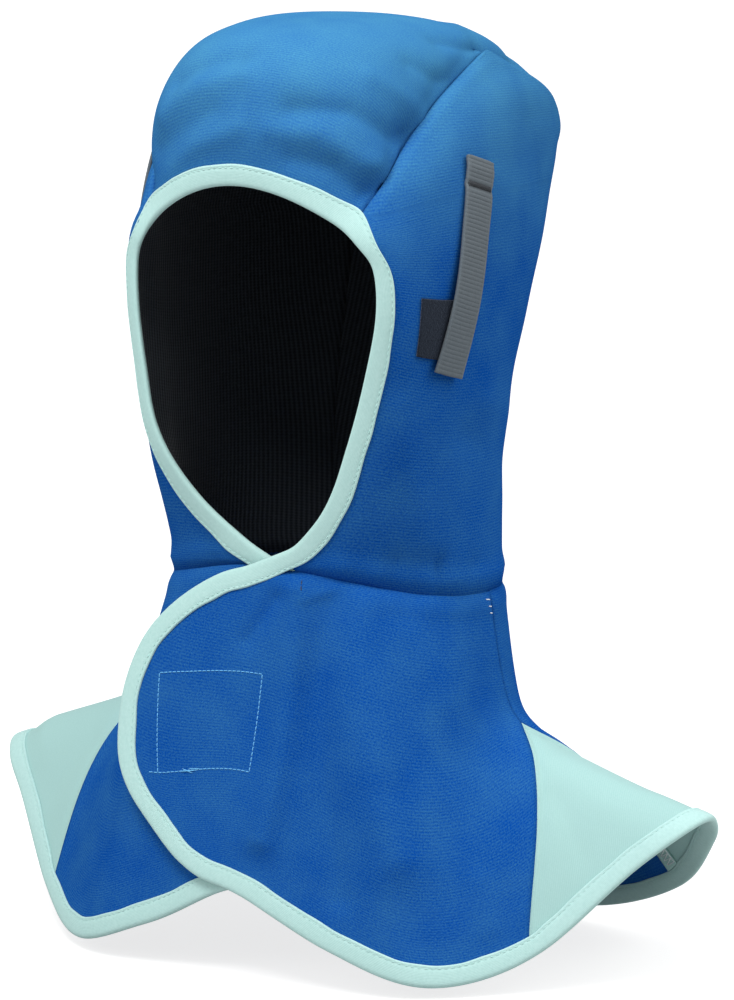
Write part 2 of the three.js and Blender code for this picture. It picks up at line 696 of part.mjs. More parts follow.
// Webbing strap down the side: sewn flat at the top, over the patch at the bottom, bowed between
function strapSolid(half, { top, bottom }) {
  const surface = (level, across) => sidePoint(half, level, across);
  const [high, low] = [surface(...top), surface(...bottom)];
  const down = low.clone().sub(high).normalize();
  const rows = spaced(0, 1, 12).map((t) => {
    const straight = high.clone().lerp(low, t);
    let at = mixPair(top, bottom, t);
    for (let pass = 0; pass < 4; pass += 1) {
      at = stepOnSurface(surface, at, straight.clone().sub(surface(...at)));
    }
    const toward = surface(at[0], at[1] + 0.05).sub(surface(...at));
    toward.addScaledVector(down, -toward.dot(down)).setLength(STRAP_WIDTH / 2);
    return [stepOnSurface(surface, at, toward.clone().negate()), at, stepOnSurface(surface, at, toward)];
  });
  const seat = CLOTH / 2 + PATCH_LIFT;
  const lift = (t) => {
    const overPatch = (PATCH + PATCH_LIFT) * THREE.MathUtils.smoothstep(t, 0.1, 0.6);
    return seat + overPatch + STRAP_BOW * Math.sin(Math.PI * t);
  };
  return overSide(half, rows, lift, STRAP);
}

// Hook-and-loop patch on the side panel behind the strap's free end
function patchSolid(half, { bottom }) {
  const low = bottom[0] + PATCH_ABOVE_END;
  const [front, rear] = PATCH_ACROSS.map((shift) => bottom[1] + shift);
  const rows = spaced(low + PATCH_HEIGHT, low, 3).map((level) => {
    return spaced(front, rear, 4).map((across) => [level, across]);
  });
  return overSide(half, rows, () => CLOTH / 2 + PATCH_LIFT, PATCH);
}

// Hook-and-loop square behind the over flap
function closureSolid() {
  const grid = spaced(CLOSURE_FALLS[0], CLOSURE_FALLS[1], 5).map((fall) => {
    return spaced(CLOSURE_ANGLES[0], CLOSURE_ANGLES[1], 5).map((angle) => frontPoint(LEFT, angle, fall));
  });
  const panel = makePanel([grid], [], LEFT, CAPE_MIDDLE);
  sharedNormals([panel]);
  const top = -CLOTH / 2 - PATCH_LIFT;
  return thickSheet(panel, top - CLOSURE, top, 0);
}

// Joins the bodies of the hood's panels into one sheet for the lining
function joinPanels(panels) {
  const points = [];
  const index = new Map();
  const triangles = [];
  for (const panel of panels) {
    const ids = panel.points.map((point) => {
      const key = pointKey(point);
      if (!index.has(key)) {
        index.set(key, points.length);
        points.push(point);
      }
      return index.get(key);
    });
    triangles.push(...panel.triangles.map((triangle) => triangle.map((id) => ids[id])));
  }
  return { points, triangles, tape: [] };
}

// Where the neck seam meets the tape: the last face station, for the front panel to start from
function neckStation(half) {
  const { surface, edge, inner } = faceEdge(half);
  const innerPoint = surface(...inner[0]);
  const neckAngle = THREE.MathUtils.radToDeg(Math.asin(neckAngleSine(half, inner[0][1])));
  return { edge: surface(...edge[0]), inner: innerPoint, neckAngle };
}

// Sine of the neck angle at a place across the lowest row of a side panel
function neckAngleSine(half, across) {
  const row = SIDE_LEVELS[0];
  const start = Math.asin(Math.min(row.front[0] + row.lean * half.sign, 0) / row.side[0]);
  return Math.sin(start + (Math.PI / 2 - start) * 2 * across);
}

const sideLeft = sidePanel(LEFT);
const sideRight = sidePanel(RIGHT);
const crown = crownPanel();
const frontLeft = frontPanel(LEFT, neckStation(LEFT));
const frontRight = frontPanel(RIGHT, neckStation(RIGHT));
const gussetLeft = gussetPanel(LEFT);
const gussetRight = gussetPanel(RIGHT);
const back = backPanel();
const lining = joinPanels([sideLeft.backing, crown.backing, sideRight.backing]);
const panels = [sideLeft, sideRight, crown, frontLeft, frontRight, gussetLeft, gussetRight, back];
sharedNormals(panels);
sharedNormals([lining]);

// Tape stations of one panel, from its first edge point to its last
function tapeRun(panel, reversed) {
  const run = panel.tape.map(({ edge, inner }) => ({
    edge: panel.points[edge],
    inner: panel.points[inner],
    edgeNormal: panel.normals[edge],
    innerNormal: panel.normals[inner],
    reversed,
  }));
  return reversed ? run.reverse() : run;
}

// The whole free edge in order; a run leaves out its last station, which starts the next run.
const edgeRuns = [
  tapeRun(crown, false),
  tapeRun(sideLeft, true),
  tapeRun(frontLeft, false),
  tapeRun(gussetLeft, false),
  tapeRun(back, false),
  tapeRun(gussetRight, true),
  tapeRun(frontRight, true),
  tapeRun(sideRight, false),
];
const edgeStations = edgeRuns.flatMap((run) => run.slice(0, -1));

const liningTop = -CLOTH / 2 - LINING_GAP;
const cloth = (panel) => thickSheet(panel, -CLOTH / 2, CLOTH / 2, SEAM_GAP);

const pieces = [
  { name: 'crown_panel', geometry: cloth(crown), look: BLUE },
  { name: 'side_panel_left', geometry: cloth(sideLeft), look: BLUE },
  { name: 'side_panel_right', geometry: cloth(sideRight), look: BLUE },
  { name: 'hood_lining', geometry: thickSheet(lining, liningTop - LINING, liningTop, LINING_STOP), look: BLACK_KNIT },
  { name: 'cape_front_left', geometry: cloth(frontLeft), look: BLUE },
  { name: 'cape_front_right', geometry: cloth(frontRight), look: BLUE },
  { name: 'cape_back', geometry: cloth(back), look: BLUE },
  { name: 'shoulder_gusset_left', geometry: cloth(gussetLeft), look: PALE_GREEN },
  { name: 'shoulder_gusset_right', geometry: cloth(gussetRight), look: PALE_GREEN },
  { name: 'edge_binding', geometry: sweepTape(edgeStations), look: PALE_GREEN },
  { name: 'strap_left', geometry: strapSolid(LEFT, STRAP_ENDS.left), look: GREY_WEBBING },
  { name: 'strap_right', geometry: strapSolid(RIGHT, STRAP_ENDS.right), look: GREY_WEBBING },
  { name: 'loop_patch_left', geometry: patchSolid(LEFT, STRAP_ENDS.left), look: BLACK_LOOP },
  { name: 'loop_patch_right', geometry: patchSolid(RIGHT, STRAP_ENDS.right), look: BLACK_LOOP },
  { name: 'closure_patch', geometry: closureSolid(), look: BLACK_LOOP },
];

const cover = new THREE.Group();
for (const { name, geometry, look } of pieces) {
  const mesh = new THREE.Mesh(geometry, new THREE.MeshStandardMaterial(look));
  mesh.name = name;
  cover.add(mesh);
}

export default cover;
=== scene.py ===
"""Looks of a cloth hood with a shoulder cape, dressed over its solids.

Shapes are worked out in millimetres in the solids' own frame: +Z up, the face along -Y, the
wearer's left along +X, and the origin at the inside top of the crown. Meshes are in metres.
"""

import math
from collections import namedtuple

import bpy
import numpy as np
from mathutils import Matrix, Vector


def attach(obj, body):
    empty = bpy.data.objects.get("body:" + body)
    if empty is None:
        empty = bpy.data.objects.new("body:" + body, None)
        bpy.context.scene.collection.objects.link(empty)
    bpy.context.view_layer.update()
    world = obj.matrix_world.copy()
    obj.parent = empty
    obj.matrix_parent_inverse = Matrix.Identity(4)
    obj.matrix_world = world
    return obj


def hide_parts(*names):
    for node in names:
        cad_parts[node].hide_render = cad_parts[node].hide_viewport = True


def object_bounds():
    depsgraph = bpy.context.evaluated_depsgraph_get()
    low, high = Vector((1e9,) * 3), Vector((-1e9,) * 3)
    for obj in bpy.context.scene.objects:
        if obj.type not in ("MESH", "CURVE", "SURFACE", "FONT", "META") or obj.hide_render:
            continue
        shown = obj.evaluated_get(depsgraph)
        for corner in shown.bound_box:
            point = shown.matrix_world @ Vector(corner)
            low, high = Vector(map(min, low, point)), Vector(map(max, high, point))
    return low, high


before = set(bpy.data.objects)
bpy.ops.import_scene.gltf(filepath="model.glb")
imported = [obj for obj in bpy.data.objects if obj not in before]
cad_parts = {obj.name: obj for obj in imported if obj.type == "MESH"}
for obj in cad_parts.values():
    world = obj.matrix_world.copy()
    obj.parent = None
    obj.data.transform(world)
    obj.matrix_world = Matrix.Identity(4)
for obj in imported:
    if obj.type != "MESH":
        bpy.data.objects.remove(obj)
SOLIDS_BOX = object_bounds()
MM = 0.001

Half = namedtuple("Half", "sign over")
LEFT = Half(1, True)
RIGHT = Half(-1, False)
HALVES = (LEFT, RIGHT)


def columns(names, rows):
    """A table of rows as one array for each named column."""
    return {name: np.array([row[k] for row in rows], float) for k, name in enumerate(names)}


# Neck seam: an oval that is higher at the front
NECK_HALF_WIDTH = 83
NECK_FRONT = -73
NECK_MIDDLE = -2
NECK_BACK = 69
NECK_HEIGHT = -270
NECK_FRONT_RISE = 14

# Levels of the left side panel from the neck seam (0) to the top of its seam (1): its front edge and
# that edge's lean to one side, its widest point and its back seam
BROW_LEVEL = 0.7
BROW_TRAVEL = BROW_LEVEL - 1
CHIN_LEVEL = 0.06
SIDE_LEVELS = columns(("level", "front", "lean", "side", "back"), [
    (0.00, (-6, -73, -256), 6, (83, -2, -270), (38, 61, -270)),
    (0.06, (12, -73, -248), 3, (82, -4, -253), (39, 62, -258)),
    (0.14, (36, -75, -226), -1, (81, -5, -232), (40, 64, -238)),
    (0.26, (53, -78, -194), -4, (81, -6, -203), (42, 67, -206)),
    (0.38, (61, -80, -162), -2, (82, -7, -172), (44, 75, -172)),
    (0.50, (66, -82, -130), 0, (85, -5, -138), (47, 89, -138)),
    (0.62, (64, -84, -105), 0, (87, 0, -106), (50, 102, -104)),
    (0.70, (55, -88, -94), 0, (87, 2, -84), (51, 109, -82)),
    (0.78, (62, -72, -72), 0, (85, 6, -66), (54, 115, -66)),
    (0.87, (64, -45, -48), 0, (82, 13, -47), (58, 111, -49)),
    (0.94, (65, -15, -30), 0, (76, 21, -31), (61, 89, -33)),
    (1.00, (62, 26, -14), 0, (62, 26, -14), (62, 26, -14)),
])

# Middle line of the crown by travel along its seam: brow, top (0), down the back (1)
CROWN_ARCHES = columns(("travel", "y", "z", "round", "square"), [
    (-0.300, -103, -72, 2.0, 1.0),
    (-0.257, -105, -50, 2.0, 1.1),
    (-0.200, -98, -22, 2.5, 1.9),
    (-0.143, -76, -5, 2.6, 2.2),
    (-0.071, -36, 2, 2.7, 2.4),
    (0.000, 12, 3, 2.5, 2.2),
    (0.080, 68, -8, 2.0, 1.6),
    (0.145, 110, -22, 2.2, 1.6),
    (0.220, 121, -58, 2.0, 1.1),
    (0.400, 117, -106, 2.0, 1.0),
    (0.586, 97, -158, 2.0, 1.0),
    (0.793, 74, -214, 2.0, 1.0),
    (1.000, 69, -270, 2.0, 1.0),
])

# Cape by angle from the front: the knee where it leaves the neck, and the hem
CAPE_LINES = columns(("angle", "knee", "hem"), [
    (-25, (-46, -83, -335), (-53, -101, -429)),
    (0, (0, -86, -330), (0, -104, -408)),
    (25, (46, -83, -335), (53, -101, -429)),
    (45, (73, -68, -340), (97, -83, -444)),
    (62, (86, -45, -340), (134, -52, -432)),
    (78, (89, -17, -336), (171, -20, -392)),
    (84, (90, -7, -336), (186, -7, -378)),
    (90, (90, 3, -336), (194, 9, -371)),
    (96, (89, 11, -336), (191, 26, -375)),
    (102, (87, 18, -336), (183, 44, -387)),
    (118, (76, 39, -341), (150, 79, -420)),
    (140, (56, 64, -345), (94, 99, -441)),
    (180, (0, 80, -345), (0, 112, -445)),
    (220, (-56, 64, -345), (-94, 99, -441)),
])

# Knee of those lines: its fall, and how round it is
KNEE_FALL = 0.45
KNEE_BEND = 0.1

# Broad folds of the front panels by the angle of their crest, which fade in below the neck
FRONT_FOLDS = columns(("angle", "width", "height"), [
    (18, 9, -2.0),
    (38, 9, 2.5),
])
FOLD_FADE = 3

# Free edge of a front panel from the neck seam round the flap to the gusset
FLAP_EDGE = columns(("angle", "fall"), [
    (-7, 0.010),
    (-16, 0.026),
    (-28, 0.070),
    (-37, 0.120),
    (-44, 0.180),
    (-48, 0.260),
    (-48, 0.355),
    (-42, 0.490),
    (-34, 0.605),
    (-24, 0.730),
    (-14, 0.865),
    (-5, 0.955),
    (8, 1.000),
    (25, 1.000),
    (44, 1.000),
    (62, 1.000),
])
FLAP_EDGE["place"] = np.arange(len(FLAP_EDGE["angle"]), dtype=float)

# Places on that edge where the flap's round becomes the hem, and where the hem ends
FLAP_TURN = 10
FLAP_END = FLAP_EDGE["place"][-1]

# How far the over flap hangs open, and how far inside it the under side lies, fading by angle and level
OVER_FLAP_OPEN = 0.8
UNDER_DROP = 5
UNDER_ANGLES = (20, 55)
UNDER_LEVELS = (0.08, 0.25)

# Shoulder gusset: its point by angle and fall, and the angles of its two seams at the hem
SHOULDER_ANGLE = 90
GUSSET_TOP = 0.46
GUSSET_FRONT_ANGLE = 62
GUSSET_BACK_ANGLE = 180 - GUSSET_FRONT_ANGLE
GUSSET_CURVE = 1.4

TAPE_WIDTH = 9

# Numerical work: a least length, a least angle, a small step, halvings of a range, samples of a curve,
# a slope's share of a range, and the digits to which points that meet agree
LEAST_LENGTH = 1e-9
LEAST_ANGLE = 1e-3
SMALL_STEP = 1e-3
HALVINGS = 40
CURVE_SAMPLES = 600
SLOPE_SHARE = 0.004
MERGE_DIGITS = 2


def smooth_step(x, low, high):
    """Rises from 0 to 1 between two values as 3t^2 - 2t^3."""
    t = np.clip((x - low) / (high - low), 0, 1)
    return t * t * (3 - 2 * t)


def points_of(x, y, z):
    """Points from arrays of coordinates."""
    return np.stack(np.broadcast_arrays(x, y, z), axis=-1)


def unit(vectors):
    """Vectors at length 1."""
    return vectors / np.maximum(np.linalg.norm(vectors, axis=-1, keepdims=True), LEAST_LENGTH)


def along(rows, key, column, at):
    """Smooth curve through a table: cubics between the rows, with central slopes at the rows."""
    keys, values = rows[key], rows[column]
    at = np.asarray(at, float)
    before = np.maximum(np.arange(len(keys)) - 1, 0)
    after = np.minimum(np.arange(len(keys)) + 1, len(keys) - 1)
    reach = keys[after] - keys[before]
    wide = values.ndim > 1
    slopes = (values[after] - values[before]) / (reach[:, None] if wide else reach)
    row = np.clip(np.searchsorted(keys, at) - 1, 0, len(keys) - 2)
    step = keys[row + 1] - keys[row]
    t = (at - keys[row]) / step
    if wide:
        t, step = t[..., None], step[..., None]
    start = values[row] * (1 + 2 * t) * (1 - t) ** 2 + slopes[row] * step * t * (1 - t) ** 2
    end = values[row + 1] * t * t * (3 - 2 * t) + slopes[row + 1] * step * t * t * (t - 1)
    return start + end


def neck_outward(angle):
    """Level direction out of the neck oval at an angle from the front, in radians."""
    half_depth = NECK_MIDDLE - NECK_FRONT
    return unit(points_of(np.sin(angle) / NECK_HALF_WIDTH, -np.cos(angle) / half_depth, 0.0))


def neck_point(angle):
    """Neck seam: an oval whose front rises with the cube of the cosine."""
    facing = np.cos(angle)
    reach = np.where(facing > 0, NECK_FRONT - NECK_MIDDLE, NECK_MIDDLE - NECK_BACK)
    height = NECK_HEIGHT + NECK_FRONT_RISE * np.maximum(facing, 0) ** 3
    return points_of(NECK_HALF_WIDTH * np.sin(angle), NECK_MIDDLE + reach * facing, height)


def under_share(angle):
    """How much of its drop the under side has at an angle from the front, in degrees."""
    return 1 - smooth_step(angle, *UNDER_ANGLES)


def side_point(half, level, across):
    """Side panel: an oval quarter from the front edge to the widest point, then one to the back seam."""
    level, across = np.broadcast_arrays(np.asarray(level, float), np.asarray(across, float))
    front = along(SIDE_LEVELS, "level", "front", level)
    side = along(SIDE_LEVELS, "level", "side", level)
    back = along(SIDE_LEVELS, "level", "back", level)
    wide = side[..., 0]
    edge = front[..., 0] + along(SIDE_LEVELS, "level", "lean", level) * half.sign
    centre = np.maximum(edge, 0)
    start = np.arcsin(np.minimum(edge, 0) / wide)
    turn = start + (np.pi / 2 - start) * 2 * np.minimum(across, 0.5)
    fore = points_of(
        centre + (wide - centre) * np.sin(turn),
        side[..., 1] + (front[..., 1] - side[..., 1]) * np.cos(turn),
        side[..., 2] + (front[..., 2] - side[..., 2]) * np.cos(turn) ** 3,
    )
    if not half.over:
        drop = UNDER_DROP * (1 - smooth_step(level, *UNDER_LEVELS)) * under_share(np.degrees(turn))
        fore = fore - drop[..., None] * neck_outward(turn)
    end = np.maximum(np.arccos(np.minimum(back[..., 0] / wide, 1)), LEAST_ANGLE)
    swing = end * (2 * np.maximum(across, 0.5) - 1)
    rear = points_of(
        wide * np.cos(swing),
        side[..., 1] + (back[..., 1] - side[..., 1]) * np.sin(swing) / np.sin(end),
        side[..., 2] + (back[..., 2] - side[..., 2]) * (1 - np.cos(swing)) / (1 - np.cos(end)),
    )
    return np.where((across > 0.5)[..., None], rear, fore) * (half.sign, 1, 1)


def crown_seam(travel):
    """Left seam of the crown by travel: up the front of the side panel, then down its back."""
    travel = np.asarray(travel, float)
    rise = side_point(LEFT, 1 + np.minimum(travel, 0), 0)
    descent = side_point(LEFT, 1 - np.maximum(travel, 0), 1)
    return np.where((travel < 0)[..., None], rise, descent)


def crown_point(travel, across):
    """Crown panel: a rounded arch from seam to seam through the middle line."""
    travel, across = np.broadcast_arrays(np.asarray(travel, float), np.asarray(across, float))
    seam = crown_seam(travel)
    reach = np.sin(across * np.pi / 2)
    turn = along(CROWN_ARCHES, "travel", "round", travel)
    square = along(CROWN_ARCHES, "travel", "square", travel)
    rise = np.maximum(1 - np.abs(reach) ** turn, 0) ** (1 / square)
    return points_of(
        seam[..., 0] * reach,
        seam[..., 1] + (along(CROWN_ARCHES, "travel", "y", travel) - seam[..., 1]) * rise,
        seam[..., 2] + (along(CROWN_ARCHES, "travel", "z", travel) - seam[..., 2]) * rise,
    )


def cape_point(degrees, fall):
    """Cape: each line falls from the neck seam to the knee and bends out to the hem."""
    degrees, fall = np.broadcast_arrays(np.asarray(degrees, float), np.asarray(fall, float))
    angle = np.abs(degrees)
    past_back = angle > 180
    angle = np.where(past_back, 360 - angle, angle)
    neck = neck_point(np.radians(angle))
    drop = (along(CAPE_LINES, "angle", "knee", angle) - neck) / KNEE_FALL
    spread = along(CAPE_LINES, "angle", "hem", angle) - neck - drop

    def bend(at):
        """Ramp with a round knee at 0."""
        return (at + np.hypot(at, KNEE_BEND)) / 2

    start = bend(-KNEE_FALL)
    share = (bend(fall - KNEE_FALL) - start) / (bend(1 - KNEE_FALL) - start)
    point = neck + drop * fall[..., None] + spread * share[..., None]
    side = np.where((degrees < 0) | past_back, -1.0, 1.0)
    return point * points_of(side, 1.0, 1.0)


def front_point(half, degrees, fall):
    """Front panel: the cape with broad folds; the over flap stands off, the under flap lies inside."""
    degrees, fall = np.broadcast_arrays(np.asarray(degrees, float), np.asarray(fall, float))
    out = neck_outward(np.radians(degrees))
    crests = (np.abs(degrees)[..., None] - FRONT_FOLDS["angle"]) / FRONT_FOLDS["width"]
    fold = np.clip(FOLD_FADE * fall, 0, 1) * (FRONT_FOLDS["height"] * np.exp(-crests ** 2)).sum(-1)
    point = cape_point(degrees, fall) + fold[..., None] * out
    if half.over:
        open_to = cape_point(np.zeros_like(fall), fall)[..., 1]
        shift = np.where(degrees < 0, OVER_FLAP_OPEN * (open_to - point[..., 1]), 0)
        point = point + points_of(0.0, shift, 0.0)
    else:
        point = point - (UNDER_DROP * under_share(degrees))[..., None] * out
    return point * (half.sign, 1, 1)


def gusset_angle(fall):
    """Angle of the gusset's front seam at a fall."""
    left = 1 - np.clip((np.asarray(fall, float) - GUSSET_TOP) / (1 - GUSSET_TOP), 0, 1)
    return GUSSET_FRONT_ANGLE + (SHOULDER_ANGLE - GUSSET_FRONT_ANGLE) * left ** GUSSET_CURVE


def step_on_surface(surface, a, b, move):
    """Coordinates after a small move on a surface, from its two tangents by least squares."""
    origin = surface(a, b)
    along_a = (surface(a + SMALL_STEP, b) - origin) / SMALL_STEP
    along_b = (surface(a, b + SMALL_STEP) - origin) / SMALL_STEP
    aa, ab, bb = (along_a ** 2).sum(-1), (along_a * along_b).sum(-1), (along_b ** 2).sum(-1)
    ma, mb = (move * along_a).sum(-1), (move * along_b).sum(-1)
    det = aa * bb - ab * ab
    return np.stack([a + (ma * bb - mb * ab) / det, b + (mb * aa - ma * ab) / det], axis=-1)


def lengths_of(line):
    """Distance along a line of points at each point."""
    return np.concatenate([[0.0], np.cumsum(np.linalg.norm(np.diff(line, axis=0), axis=1))])


def square_move(surface, edge, inside):
    """Moves of a tape's width into a panel, square to its edge."""
    points = surface(edge[:, 0], edge[:, 1])
    tangent = unit(np.gradient(points, axis=0))
    toward = surface(inside[:, 0], inside[:, 1]) - points
    return unit(toward - (toward * tangent).sum(-1, keepdims=True) * tangent) * TAPE_WIDTH


def inset_edge(surface, edge, first, last, inside):
    """Coordinates a tape's width inside an edge: square to it, turning to the given ones at its ends."""
    points = surface(edge[:, 0], edge[:, 1])
    move = square_move(surface, edge, inside)
    length = lengths_of(points)
    for k, end, distance in ((0, first, length), (-1, last, length[-1] - length)):
        turn = (1 - smooth_step(distance, 0, 2 * TAPE_WIDTH))[:, None]
        move = move * (1 - turn) + turn * (surface(*end) - points[k])
    inner = step_on_surface(surface, edge[:, 0], edge[:, 1], move)
    inner[0], inner[-1] = first, last
    return inner


def tape_width_along(curve, limit):
    """Value up to a limit at which a curve has gone a tape's width from its start, by halving."""
    low, high = 0.0, limit
    for _ in range(HALVINGS):
        middle = (low + high) / 2
        if np.linalg.norm(curve(middle) - curve(0.0)) < TAPE_WIDTH:
            low = middle
        else:
            high = middle
    return low


def mixed(first, second, share):
    """Coordinates between two lists, by a share."""
    return np.asarray(first) + (np.asarray(second) - np.asarray(first)) * share


def ruled(starts, ends, steps):
    """Grid of coordinates: each row runs straight from its start to its end."""
    share = np.linspace(0, 1, steps)[None, :, None]
    return starts[:, None, :] * (1 - share) + ends[:, None, :] * share


def filled(top, bottom, left, right):
    """Grid of coordinates inside four edges that share corners: two ruled grids less a corner one."""
    t = np.linspace(0, 1, len(left))[:, None, None]
    u = np.linspace(0, 1, len(top))[None, :, None]
    sides = (1 - t) * top[None] + t * bottom[None] + (1 - u) * left[:, None] + u * right[:, None]
    upper = (1 - u) * top[0] + u * top[-1]
    lower = (1 - u) * bottom[0] + u * bottom[-1]
    return sides - (1 - t) * upper - t * lower


def evenly(curve, start, end, count):
    """Values from start to end that part a curve into equal lengths."""
    fine = np.linspace(start, end, CURVE_SAMPLES)
    length = lengths_of(curve(fine))
    return np.interp(np.linspace(0, length[-1], count), length, fine)


def nearest(points, line):
    """Distance from points to a line of samples, and the length along it at the nearest place."""
    flat = points.reshape(-1, 3)
    squares = (flat ** 2).sum(1)[:, None] + (line ** 2).sum(1)[None] - 2 * flat @ line.T
    k = squares.argmin(1)
    tangent = unit(np.gradient(line, axis=0))[k]
    offset = flat - line[k]
    reach = np.linalg.norm(np.gradient(line, axis=0), axis=1)[k]
    shift = np.clip((offset * tangent).sum(1), -reach, reach)
    distance = np.linalg.norm(offset - shift[:, None] * tangent, axis=1)
    return distance.reshape(points.shape[:-1]), (lengths_of(line)[k] + shift).reshape(points.shape[:-1])


def at_length(line, length, at):
    """Values of a line's columns at lengths along it."""
    return np.stack([np.interp(at, length, column) for column in line.T], axis=-1)


def bump(distance, width):
    """Bell curve that is 1 at distance 0."""
    return np.exp(-(distance / width) ** 2)


def crease(distance, width):
    """Hyperbola's shape in an exponent: 1 at distance 0, a round top and long flanks."""
    return np.exp(1 - np.sqrt(1 + (2 * distance / width) ** 2))


def from_path(points, path):
    """Distance from points to the nearest of a path's straight steps."""
    gaps = []
    for start, end in zip(path[:-1], path[1:]):
        line = end - start
        share = np.clip(((points - start) @ line) / (line @ line), 0, 1)
        gaps.append(np.linalg.norm(points - start - share[..., None] * line, axis=-1))
    return np.min(gaps, axis=0)


# Uneven wave along a seam: sines whose pitches share no measure
RIPPLES = columns(("size", "turns", "phase"), [
    (0.5, 1.000, 0.0),
    (0.3, 0.618, 1.3),
    (0.2, 1.732, 4.1),
])

# Slack of cloth that was never pressed flat: slow waves through space
SLACK_WAVES = columns(("way", "pitch", "size"), [
    ((0.9, 0.4, 0.2), 71, 0.30),
    ((-0.3, 0.8, 0.5), 53, 0.25),
    ((0.5, -0.6, 0.7), 44, 0.20),
    ((0.2, 0.9, -0.8), 37, 0.15),
    ((-0.7, 0.3, 0.9), 29, 0.10),
])
SLACK_PHASE = 1.7


def ripple(length, pitch):
    """Uneven wave along a seam, from -1 to 1."""
    turn = 2 * np.pi * length[..., None] / pitch
    return (RIPPLES["size"] * np.sin(RIPPLES["turns"] * turn + RIPPLES["phase"])).sum(-1)


def unevenness(points):
    """Slack at points in space, about 1 high."""
    turn = 2 * np.pi * (points @ unit(SLACK_WAVES["way"]).T) / SLACK_WAVES["pitch"]
    phase = SLACK_PHASE * np.arange(len(SLACK_WAVES["pitch"]))
    return (np.sin(turn + phase) * SLACK_WAVES["size"]).sum(-1)


# A seam: its line and outward directions, the line's height and the run up to it, then a roll beside
# it by height, distance and width, and its puckers by height, width and pitch
Seam = namedtuple("Seam", "line out lift hold roll roll_at roll_width pucker pucker_width pitch")
Fold = namedtuple("Fold", "path width height")


class Panel:
    """A piece of cloth: its plain surface, the range of its two coordinates, and the relief on it."""

    def __init__(self, surface, low, high, middle, seams=(), folds=()):
        self.surface = surface
        self.low, self.high = np.array(low, float), np.array(high, float)
        self.middle = np.array(middle, float)
        self.seams = seams
        self.folds = [fold._replace(path=surface(*np.array(fold.path, float).T)) for fold in folds]
        self.edge = None

    def bind(self, border):
        """Keep the free edge that is bound with tape, where the cloth lies still."""
        self.edge = self.surface(border.edge[:, 0], border.edge[:, 1])

    def outward(self, a, b):
        """Direction square to the surface, from central differences kept inside the range."""
        step = (self.high - self.low) * SLOPE_SHARE
        a = np.clip(a, self.low[0] + step[0], self.high[0] - step[0])
        b = np.clip(b, self.low[1] + step[1], self.high[1] - step[1])
        along_a = self.surface(a + step[0], b) - self.surface(a - step[0], b)
        along_b = self.surface(a, b + step[1]) - self.surface(a, b - step[1])
        normal = unit(np.cross(along_a, along_b))
        facing = (normal * (self.surface(a, b) - self.middle)).sum(-1, keepdims=True)
        return np.where(facing < 0, -normal, normal)

    def folded(self, points):
        """Height of the slack and of the folds along their paths."""
        height = SLACK * unevenness(points)
        for fold in self.folds:
            height = height + fold.height * crease(from_path(points, fold.path), fold.width)
        return height

    def dressed(self, coordinates):
        """Points with folds and rolled, puckered seams, which meet the next panel's at the seam lines."""
        a, b = coordinates[..., 0], coordinates[..., 1]
        base, out = self.surface(a, b), self.outward(a, b)
        height = self.folded(base)
        joins = []
        for seam in self.seams:
            distance, length = nearest(base, seam.line)
            wave = ripple(length, seam.pitch) - PUCKER_DIP
            height = height + seam.roll * bump(distance - seam.roll_at, seam.roll_width)
            height = height + seam.pucker * wave * bump(distance, seam.pucker_width)
            way = at_length(seam.out, lengths_of(seam.line), length)
            joins.append((bump(distance, seam.hold)[..., None], way * seam.lift))
        if self.edge is not None:
            distance, _ = nearest(base, self.edge)
            height = height * (EDGE_RELIEF + (1 - EDGE_RELIEF) * smooth_step(distance, *EDGE_RUN))
        moved = out * height[..., None]
        for share, lift in joins:
            moved = moved * (1 - share) + lift * share
        return base + moved, out


# Cloth: thickness, slack, how much puckers dip, and where a panel ends under the tape
CLOTH_THICKNESS = 1.4
SLACK = 0.45
PUCKER_DIP = 0.5
UNDER_TAPE = 0.45

# Relief that is left at a bound edge, and the distances between which it comes back
EDGE_RELIEF = 0.1
EDGE_RUN = (5, 22)

# Middles of the hood and cape, and the hood's upright middle line by x, y and heights
HOOD_MIDDLE = (0, 0, -130)
CAPE_MIDDLE = (0, 0, -420)
HOOD_AXIS = (0.0, 5.0)
HOOD_AXIS_HEIGHTS = (-250, -60)

# Grid steps: along the face edge, up to the top, across a side, round the crown, the flap and the hems
FACE_STEPS = 90
TOP_STEPS = 40
SIDE_STEPS = 77
CROWN_STEPS = 111
CROWN_ROWS = 201
TAPE_STEPS = 5
FLAP_START_STEPS = 10
FLAP_STEPS = 120
HEM_STEPS = 80
GUSSET_STEPS = 60
GUSSET_ROWS = 50
BACK_STEPS = 130
BACK_ROWS = 80

# Samples of the seam lines: beside the crown, down the shoulders and along the neck
CROWN_SAMPLES = 260
SEAM_SAMPLES = 140
NAPE_SAMPLES = 160

